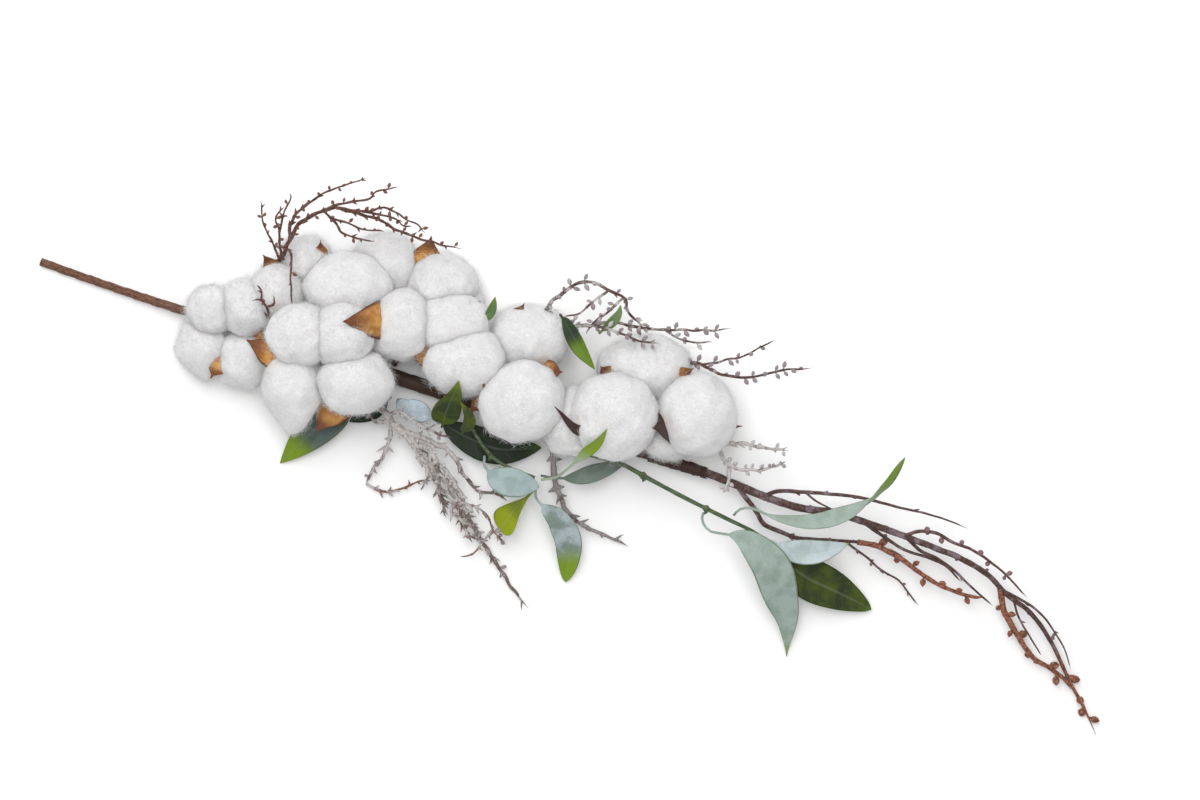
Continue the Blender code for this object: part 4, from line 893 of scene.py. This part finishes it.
# How a cane grows. spacing: mm between its side growths; buds: share of them that are buds and not
# thorns; thorn and bud: their lengths; girth: radius of a bud; pairs: share that have a twin opposite;
# lean: how far they lean towards the tip; knots: how uneven the cane is; rust: how rusty it is.
Growth = namedtuple("Growth", "spacing buds thorn bud girth pairs lean knots rust")
GROWTH = {
    "arch_twig": Growth(3.9, 0.5, 2.0, 2.6, 0.7, 0.35, 0.55, 1.2, 0.25),
    "crown_twig": Growth(4.4, 0.85, 1.8, 3.7, 0.9, 0.4, 0.7, 1.0, 0.0),
    "side_twig": Growth(4.4, 0.9, 1.6, 3.8, 0.95, 0.6, 0.6, 1.0, 0.0),
    "cascade_twig": Growth(4.2, 0.2, 3.4, 2.8, 0.8, 0.3, 0.5, 1.6, 0.0),
    "low_twig": Growth(5.0, 0.0, 3.4, 2.2, 0.7, 0.3, 0.35, 1.2, 0.0),
    "under_twig": Growth(3.2, 0.65, 2.0, 3.0, 0.85, 0.5, 0.6, 1.2, 0.0),
    "tail_twig": Growth(15, 0.2, 1.6, 2.2, 0.8, 0.1, 0.9, 0.35, 0.0),
    "clump": Growth(3.2, 0.25, 3.4, 3.2, 1.0, 0.5, 0.8, 2.0, 0.0),
    "brown_clump": Growth(3.0, 0.4, 3.0, 3.0, 1.1, 0.5, 0.7, 1.6, 0.35),
    "sparse": Growth(6.0, 0.6, 1.6, 2.0, 0.65, 0.1, 0.8, 0.5, 0.0),
    "thorny": Growth(3.2, 0.0, 2.4, 2.0, 0.6, 0.3, 0.3, 1.2, 0.6),
    "rusty": Growth(5.8, 1.0, 1.5, 5.0, 1.6, 0.1, 0.75, 0.6, 1.0),
    "lilac": Growth(8.0, 1.0, 1.5, 3.2, 1.15, 0.15, 0.7, 0.35, 0.15),
}
# Canes that grow in another way than the rest of their twig.
OTHER_GROWTH = {
    "cascade_twig": {2: "thorny", 5: "clump", 6: "clump", 7: "brown_clump", 8: "thorny", 11: "clump",
                     12: "clump", 13: "brown_clump"},
    "tail_twig": {4: "sparse", 5: "rusty", 6: "lilac", 9: "rusty"},
}
TAIL_END = 0.86  # share of the tail's first cane where it turns rusty, and bears rusty buds as well
FLOOR_GAP = 0.1  # least clear height of a cane, a thorn or a bud over the floor
CANE_STEP = 1.2
CANE_SIDES = 8
SWELLINGS, SMALL_KNOTS = 0.08, 0.04  # of a cane with knots of 1, as shares of its radius
TIP_TAPER = 0.06  # share of a cane over which it narrows to its very tip
CANE_WANDER = 0.25  # how far a cane with knots of 1 strays from its smooth route
STEADY_START = 8.0  # first part of a cane, over which it comes to stray fully
FIRST_GROWTH = 0.08  # share of a cane that is bare at its base
BARE_TIP = 0.7  # the end of a cane where nothing grows, as a share of the spacing
GOLDEN_TURN = 2.4  # radians from one side growth to the next, as in most plants
# How much side growths vary: their size, spacing and lean as shares, and the curl of a thorn.
SIZES, SPACINGS, LEANS, CURLS = (0.75, 1.15), (0.7, 1.35), (0.6, 1.3), (-0.3, 0.5)
THORN_PLACES = (0.0, 0.2, 0.45, 0.7, 0.88, 1.0)
THORN_PROFILE = (1.0, 0.75, 0.55, 0.38, 0.2, 0.05)
THORN_BUD_SHADE = 0.25  # how much of the buds' colour a thorn has
BUD_PLACES = (0.0, 0.2, 0.35, 0.55, 0.75, 0.9, 1.0)
BUD_PROFILE = (0.35, 0.3, 0.85, 1.0, 0.8, 0.4, 0.08)


def cane_radii(base, tip, places, knots, random):
    """Radii that taper along a cane, with slow swellings and small knots."""
    share = places / places[-1]
    taper = base + (tip - base) * share**1.3
    slow = SWELLINGS * np.sin(places * 0.9 + random.uniform(0, 6))
    swell = slow + random.normal(0, SMALL_KNOTS, len(places))
    ends = np.clip((1 - share) / TIP_TAPER, 0.15, 1.0)
    return taper * (1 + knots * swell) * ends


def nearest_place(point, places):
    return places[np.argmin(np.linalg.norm(places - np.array(point, float), axis=1))]


def above_floor(route, radii):
    """A route raised where a tube of these radii would dip into the floor."""
    return np.column_stack([route[:, :2], np.maximum(route[:, 2], radii + FLOOR_GAP)])


def add_thorn(shape, root, direction, length, girth, curl, **shades):
    """A short sharp spine with a broad foot, bent towards its curl."""
    share, radii = np.array(THORN_PLACES), girth * np.array(THORN_PROFILE)
    hook = curl * (length * share**2)[:, None]
    route = above_floor(root + direction * (share * length)[:, None] + hook, radii)
    shape.add_tube(route, radii, 6, bud=THORN_BUD_SHADE, **shades)


def add_bud(shape, root, direction, length, girth, **shades):
    """An oval bud on a thin foot, with a small pointed end."""
    share, radii = np.array(BUD_PLACES), girth * np.array(BUD_PROFILE)
    route = above_floor(root + direction * (share * length)[:, None], radii)
    shape.add_tube(route, radii, 7, bud=1.0, **shades)


def add_growths(shape, route, radii, places, style, random, start=FIRST_GROWTH):
    """Buds and thorns along a cane, each turned on from the one before."""
    tangents, across, other = frames(route)
    place, turn = places[-1] * start + style.spacing * 0.5, random.uniform(0, 6)
    while place < places[-1] - style.spacing * BARE_TIP:
        index = int(np.searchsorted(places, place))
        twins = (0, math.pi) if random.uniform() < style.pairs else (0,)
        for extra in twins:
            sideways = math.cos(turn + extra) * across[index] + math.sin(turn + extra) * other[index]
            direction = unit(sideways + tangents[index] * style.lean * random.uniform(*LEANS))
            root = route[index] + sideways * radii[index] * 0.5
            size = random.uniform(*SIZES)
            shades = dict(along=place / places[-1], rust=style.rust)
            if random.uniform() < style.buds:
                add_bud(shape, root, direction, style.bud * size, style.girth * size, **shades)
            else:
                curl = tangents[index] * random.uniform(*CURLS) + UP * 0.12
                foot = radii[index] * 0.9 + 0.25
                add_thorn(shape, root, direction, style.thorn * size, foot, curl, **shades)
        place += style.spacing * random.uniform(*SPACINGS)
        turn += GOLDEN_TURN + random.normal(0, 0.3)


def uneven(route, places, knots, seed):
    """A cane's route with small waves in it, and with both ends kept."""
    wander = np.column_stack([waves(route, 9, seed + axis) for axis in range(3)])
    growing = np.clip(places / STEADY_START, 0, 1)[:, None]
    inner = (route + CANE_WANDER * knots * wander * growing)[1:-1]
    return np.vstack([route[:1], inner, route[-1:]])


def make_twig(name, canes, slot, seed):
    """A twig: tapering canes that grow out of each other, with buds and thorns all along them."""
    random = np.random.default_rng(seed)
    shape = Shape("along", "bud", "rust")
    grown = []
    for index, (base, tip, points) in enumerate(canes):
        style = GROWTH[OTHER_GROWTH.get(name, {}).get(index, name)]
        if grown:
            points = [nearest_place(points[0], np.vstack(grown)), *points[1:]]
        grown.append(smooth_route(points))
        route = stepped_route(points, CANE_STEP)
        places = distances_along(route)
        route = uneven(route, places, style.knots, seed + 10 * index)
        share = places / places[-1]
        radii = cane_radii(base, tip, places, style.knots, random)
        is_tail = name == "tail_twig" and index == 0
        rust = np.clip((share - TAIL_END + 0.06) / 0.08, 0, 1) if is_tail else style.rust
        shape.add_tube(above_floor(route, radii), radii, CANE_SIDES, along=share, rust=rust)
        add_growths(shape, route, radii, places, style, random)
        if is_tail:
            add_growths(shape, route, radii, places, GROWTH["rusty"], random, start=TAIL_END)
    shape.finish(name + "_bark", bark_material(name), slot, name)


def make_twigs():
    for index, (name, canes) in enumerate(TWIGS.items()):
        slot = "tail_bark" if name == "tail_twig" else "frosted_twig"
        make_twig(name, canes, slot, SEED + 200 + 50 * index)


LEAF_ROWS = 34
LEAF_COLUMNS = 15
LEAF_THICKNESS = 0.45
LEAF_STALK_RADIUS = 0.55
VEIN_SPACING = 4.4
VEIN_SLANT = 0.75  # how far a vein runs towards the tip for each mm towards the rim
VEIN_WIDTH, VEIN_DEPTH = 0.2, 0.07  # the width as a share of the spacing
MIDRIB_WIDTH, MIDRIB_DEPTH, MIDRIB_SWELL = 0.5, 0.2, 0.15
RIM_WAVE, RIM_WAVE_PACE = 0.35, 4.5  # height of the slow waves along a leaf's rim, and mm for a radian


def blade_share(share, stalk, belly, point):
    """Half-width of a leaf at a share of its length, as a share of the greatest half-width."""
    along = np.clip((share - stalk) / (1 - stalk), 0, 1)
    return np.sin(math.pi * along**belly).clip(0) ** point


def lens_loop(columns):
    """Places round a flat section: across it from -1 to 1, and 1 on top, -1 below or 0 at a rim."""
    below = np.linspace(1, -1, columns)
    above = np.linspace(-1, 1, columns)[1:-1]
    across = np.concatenate([below, above])
    side = np.concatenate([[0], -np.ones(columns - 2), [0], np.ones(columns - 2)])
    return across, side


def leaf_thickness(share, blade):
    """From the round stalk to the thin blade, and thinner still at the tip."""
    stalk = LEAF_STALK_RADIUS * 2
    thick = stalk + (LEAF_THICKNESS - stalk) * np.clip(blade * 2.5, 0, 1)
    return thick * (1 - 0.75 * share**4)


def make_leaf(name, spec, seed):
    """A leaf blade, folded along its midrib, with veins sunk into its face and a slightly wavy rim."""
    width, stalk, belly, point, rolls, fold, points = spec
    route = even_route(points, LEAF_ROWS)
    share = np.linspace(0, 1, LEAF_ROWS + 1)[:, None]
    along = share * distances_along(route)[-1]
    blade = blade_share(share, stalk, belly, point)
    half = np.maximum(width / 2 * blade, LEAF_STALK_RADIUS * (1 - 0.7 * share**3))
    across, side = lens_loop(LEAF_COLUMNS)
    flat = half * across
    vein = (along - VEIN_SLANT * np.abs(flat)) / VEIN_SPACING
    from_vein = np.abs(vein - np.round(vein)) / VEIN_WIDTH
    groove = np.exp(-(from_vein**2)) * (np.abs(flat) > 0.4) * (1 - np.abs(across))
    midrib = np.exp(-((flat / MIDRIB_WIDTH) ** 2))
    wave = RIM_WAVE * np.sin(along / RIM_WAVE_PACE + seed) * across**2 * np.sign(across)
    face = fold * np.abs(across) ** 1.3 + wave - VEIN_DEPTH * groove - MIDRIB_DEPTH * midrib
    thick = leaf_thickness(share, blade) / 2 + MIDRIB_SWELL * midrib * blade
    height = face * blade + side * thick * np.sqrt(1 - 0.98 * across**2)
    shape = Shape("along", "across", "vein")
    shape.add_blade(route, spread(rolls, len(route)), flat, height,
                    along=share, across=np.abs(across)[None, :], vein=vein)
    shape.finish(name + "_blade", leaf_material(name), "leaf", name)


LEAF_STEM_STEP = 0.7
LEAF_STEM_NODES = {"leaf_stem_end": (0.42, 0.72), "leaf_stem_mid": (0.5,)}  # as shares of the length
NODE_RISE = 0.75  # height of the ring round a node, and half of its length
NODE_REACH = 0.9
SCALE_RADII = (1.1, 1.0, 0.6, 0.15)  # of the small scale at a node, from its foot to its tip


def make_leaf_stem(name, spec, material):
    """A green cane with a raised ring and a small scale at each of its nodes."""
    base, tip, points = spec
    route = stepped_route(points, LEAF_STEM_STEP)
    places = distances_along(route)
    radii = spread([base, tip], len(route)) * (1 + 0.05 * np.sin(places / 3))
    shape = Shape()
    _, across, _ = frames(route)
    for share in LEAF_STEM_NODES[name]:
        centre = share * places[-1]
        radii = radii + NODE_RISE * np.exp(-(((places - centre) / NODE_REACH) ** 2))
        index = int(np.searchsorted(places, centre))
        reach = np.linspace(0.6, 2.6, len(SCALE_RADII))[:, None]
        scale = route[index] + across[index] * reach + np.array((0.5, 0, 0))
        shape.add_tube(scale, np.array(SCALE_RADII), 7)
    shape.add_tube(route, radii, 12)
    shape.finish(name + "_cane", material, "leaf_stem", name)


VALVE_ROWS = 18
VALVE_COLUMNS = 13
VALVE_THICKNESS = 0.8
VALVE_CUP = 0.16  # depth of a valve's hollow, as a share of its width
VALVE_RIB = 0.12  # height of the ribs inside a valve
# Half-widths of a valve, as shares of the greatest, at shares of its length; past 1 is its hooked tip.
VALVE_PLACES = (0, 0.2, 0.4, 0.6, 0.8, 1.0, 1.06)
VALVE_OUTLINE = (0.45, 0.8, 1.0, 1.0, 0.75, 0.1, 0.03)
TIP_HOOK = 1.6
TIP_RISE = 0.4
CUP_SIDES = 16
CUP_RINGS = 9
STALK_STEPS = 12
STALK_SIDES = 10


def valve_route(cup, cup_radius, middle, tip):
    """From low inside the cup, out through the middle of the valve, then up to its hooked tip."""
    flat = (np.array(middle) - np.array(cup)) * (1, 1, 0)
    start = cup + unit(flat) * cup_radius * 0.4 - UP * cup_radius * 0.45
    route = even_route([start, middle, tip], VALVE_ROWS)
    hook = unit(route[-1] - route[-2]) * TIP_HOOK
    return np.vstack([route, route[-1] + hook / 2, route[-1] + hook + UP * TIP_RISE])


def add_valve(shape, cup, cup_radius, valve, seed):
    """One valve of a burr: a cupped blade with ribs inside, thin rims and a sharp hooked tip."""
    width, roll, middle, tip = valve
    route = valve_route(cup, cup_radius, middle, tip)
    share = np.concatenate([np.linspace(0, 1, VALVE_ROWS + 1), [1.03, 1.06]])
    half = (width / 2 * np.interp(share, VALVE_PLACES, VALVE_OUTLINE))[:, None]
    across, side = lens_loop(VALVE_COLUMNS)
    ragged = 0.35 * waves(np.column_stack([share * 30, share * 9, share]), 8, seed)
    flat = half * across + ragged[:, None] * across * np.clip(half, 0, 2) * 0.3
    hollow = -2 * half * VALVE_CUP * np.abs(across) ** 1.6
    ribs = VALVE_RIB * np.cos(across * 13 + seed) * (side > 0) * np.clip(half, 0, 1)
    along = np.clip(share, 0, 1)
    thick = VALVE_THICKNESS / 2 * (1.1 - 0.6 * along)[:, None]
    height = hollow + ribs + side * thick * np.sqrt(1 - 0.9 * across**2)
    shape.add_blade(route, np.full(len(route), roll), flat, height, along=along,
                    inside=(side / 2 + 0.5)[None, :], across=np.abs(across)[None, :])


def make_husk(name, spec, material, seed):
    """The dry burr of a boll: a small cup on a stalk with pointed valves between the locks."""
    cup, cup_radius, stalk_end, valves = spec
    cup = np.array(cup)
    shape = Shape("inside", "across", "along")
    share = np.linspace(-1, 1, CUP_RINGS)
    profile = np.sqrt(1 - (0.97 * share) ** 2) * cup_radius * (1 + 0.04 * np.cos(9 * share))
    bowl = cup + UP * (share * cup_radius * CUP_FLATNESS)[:, None]
    shape.add_tube(bowl, profile, CUP_SIDES)
    halfway = (cup + stalk_end) / 2 + UP * 0.3
    stalk = even_route([cup, halfway, stalk_end], STALK_STEPS)
    swellings = 1 + 0.1 * np.sin(np.arange(STALK_STEPS + 1))
    shape.add_tube(stalk, STALK_RADIUS * swellings, STALK_SIDES)
    for index, valve in enumerate(valves):
        add_valve(shape, cup, cup_radius, valve, seed + index)
    shape.finish(name + "_burr", material, "husk", name)


STEM_STEP = 0.8
STEM_SIDES = 22
STEM_WRAP = (8.5, 0.26)  # mm from one turn of tape to the next, and how far its edge stands out
TAPE_WRAP = (5.0, 0.4)
STEM_INSET, TAPE_INSET = 0.15, 0.45  # how far the tape starts inside the plain solids
TAPE_STEPS = 40
TAPE_NARROWING = 1.2  # how much thinner the dark tape gets in its last fifth
SHREDS = 9  # torn ends of the tape round the start of the tail
SHRED_LENGTHS = (2, 4.5)
SHRED_RADII = (0.5, 0.55, 0.4, 0.25, 0.06)
SHRED_INSET = 0.9  # how far inside the tape's outer radius they start
SHRED_SPREAD = (-0.1, 0.35)  # how far they lean outwards


def wound(places, radii, wrap, seed):
    """Radii of a wound stem: each turn of tape starts a little above the one before, and wrinkles.

    Also how far each point lies into its turn of tape, from 0 to 1.
    """
    pitch, edge = wrap
    turns = np.linspace(0, 1, STEM_SIDES, endpoint=False)
    lap = (places[:, None] / pitch - turns) % 1.0
    wrinkles = waves(np.column_stack([places, places * 0.1, places * 0]), 2.6, seed)
    grid = radii[:, None] + edge * (1 - lap) + 0.05 * wrinkles[:, None]
    return grid + 0.06 * np.sin(2 * math.pi * turns * 3 + places[:, None] * 0.15), lap


def make_main_stem():
    """The stem, wound with brown crepe tape from its cut end to the last boll."""
    route = stepped_route(STEM_ROUTE, STEM_STEP)
    places = distances_along(route)
    radii = spread(STEM_RADII, len(route)) - STEM_INSET
    grid, lap = wound(places, radii, STEM_WRAP, SEED)
    shape = Shape("along", "lap")
    shape.add_tube(route, grid, STEM_SIDES, along=places / places[-1], lap=lap)
    # The third colour is the painted sheen.
    material = tape_material("crepe_tape", (84, 56, 44), (122, 86, 68), (136, 112, 108))
    shape.finish("main_stem_wrap", material, "stem_tape_paper", "main_stem")


def make_stem_tape():
    """The dark ragged turns of tape that bind the tail to the end of the stem."""
    route = even_route(TAPE_ROUTE, TAPE_STEPS)
    places = distances_along(route)
    share = places / places[-1]
    radii = TAPE_OUTER - TAPE_INSET - TAPE_NARROWING * np.clip((share - 0.8) / 0.2, 0, 1) ** 2
    grid, lap = wound(places, radii, TAPE_WRAP, SEED + 5)
    shape = Shape("along", "lap")
    shape.add_tube(route, grid, STEM_SIDES, lap=lap)
    add_shreds(shape, route, np.random.default_rng(SEED + 9))
    # The third colour is the painted sheen.
    material = tape_material("dark_tape", (46, 32, 28), (72, 50, 42), (84, 68, 66))
    shape.finish("stem_tape_turns", material, "stem_tape_paper", "stem_tape")


def add_shreds(shape, route, random):
    """Torn ends of the tape that lie along the start of the tail."""
    _, across, other = frames(route)
    ahead = unit(route[-1] - route[-2])
    for turn in np.linspace(0, 2 * math.pi, SHREDS, endpoint=False):
        sideways = math.cos(turn) * across[-1] + math.sin(turn) * other[-1]
        reach = np.linspace(0, random.uniform(*SHRED_LENGTHS), len(SHRED_RADII))[:, None]
        start = route[-4] + sideways * (TAPE_OUTER - SHRED_INSET)
        shred = start + (ahead + sideways * random.uniform(*SHRED_SPREAD)) * reach
        shape.add_tube(shred, np.array(SHRED_RADII), 6, lap=0.5)


CAMERA_PLACE = (0.0, 0.0175, 2.025)
CAMERA_TURN = 18.0
CAMERA_LENS = 142.9
FLOOR_SIZE = 6.0
WORLD_LIGHT = 0.5
# name: (place, size in metres, power in watts)
LIGHTS = {
    "overhead": ((-0.2, 0.25, 2.4), 1.2, 28),
    "key": ((-0.9, 1.1, 1.8), 1.4, 17),
    "fill": ((1.2, -0.9, 1.6), 1.6, 3),
}


def make_camera():
    """Looks straight down from two metres, turned so that the spray runs across the picture."""
    camera = bpy.data.cameras.new("camera")
    camera.sensor_width = 36.0
    camera.lens = CAMERA_LENS
    camera.clip_end = 20.0
    holder = bpy.data.objects.new("camera", camera)
    holder.location = CAMERA_PLACE
    holder.rotation_euler = (0.0, 0.0, math.radians(CAMERA_TURN))
    bpy.context.scene.collection.objects.link(holder)
    bpy.context.scene.camera = holder


def make_light(name, place, size, power):
    """A large soft square light that faces the middle of the spray."""
    light = bpy.data.lights.new(name, "AREA")
    light.shape = "SQUARE"
    light.size = size
    light.energy = power
    holder = bpy.data.objects.new(name, light)
    holder.location = place
    holder.rotation_euler = (-Vector(place)).to_track_quat("-Z", "Y").to_euler()
    bpy.context.scene.collection.objects.link(holder)


def make_floor():
    shape = bmesh.new()
    bmesh.ops.create_grid(shape, x_segments=4, y_segments=4, size=FLOOR_SIZE / 2)
    mesh = bpy.data.meshes.new("floor")
    shape.to_mesh(mesh)
    shape.free()
    mesh.materials.append(floor_material())
    floor = bpy.data.objects.new("floor", mesh)
    bpy.context.scene.collection.objects.link(floor)


def make_studio():
    """A plain pale floor under soft light, seen from straight above."""
    scene = bpy.context.scene
    scene.view_settings.view_transform = "Standard"
    world = bpy.data.worlds.new("studio")
    world.use_nodes = True
    background = world.node_tree.nodes["Background"]
    background.inputs["Color"].default_value = (1.0, 1.0, 1.0, 1.0)
    background.inputs["Strength"].default_value = WORLD_LIGHT
    scene.world = world
    for name, spec in LIGHTS.items():
        make_light(name, *spec)
    make_floor()
    make_camera()


def main():
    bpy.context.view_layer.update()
    make_studio()
    make_main_stem()
    make_stem_tape()
    make_twigs()
    for index, (name, spec) in enumerate(LEAVES.items()):
        make_leaf(name, spec, SEED + index)
    green = leaf_stem_material()
    for name, spec in LEAF_STEMS.items():
        make_leaf_stem(name, spec, green)
    burr = husk_material()
    for index, (name, spec) in enumerate(HUSKS.items()):
        make_husk(name, spec, burr, SEED + 10 * index)
    make_cotton()


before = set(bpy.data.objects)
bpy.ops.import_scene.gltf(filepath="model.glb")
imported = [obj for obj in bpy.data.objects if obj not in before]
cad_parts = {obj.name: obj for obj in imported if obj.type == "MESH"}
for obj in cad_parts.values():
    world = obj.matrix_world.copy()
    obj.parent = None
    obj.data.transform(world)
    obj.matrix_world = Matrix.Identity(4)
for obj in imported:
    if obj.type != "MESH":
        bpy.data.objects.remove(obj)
main()
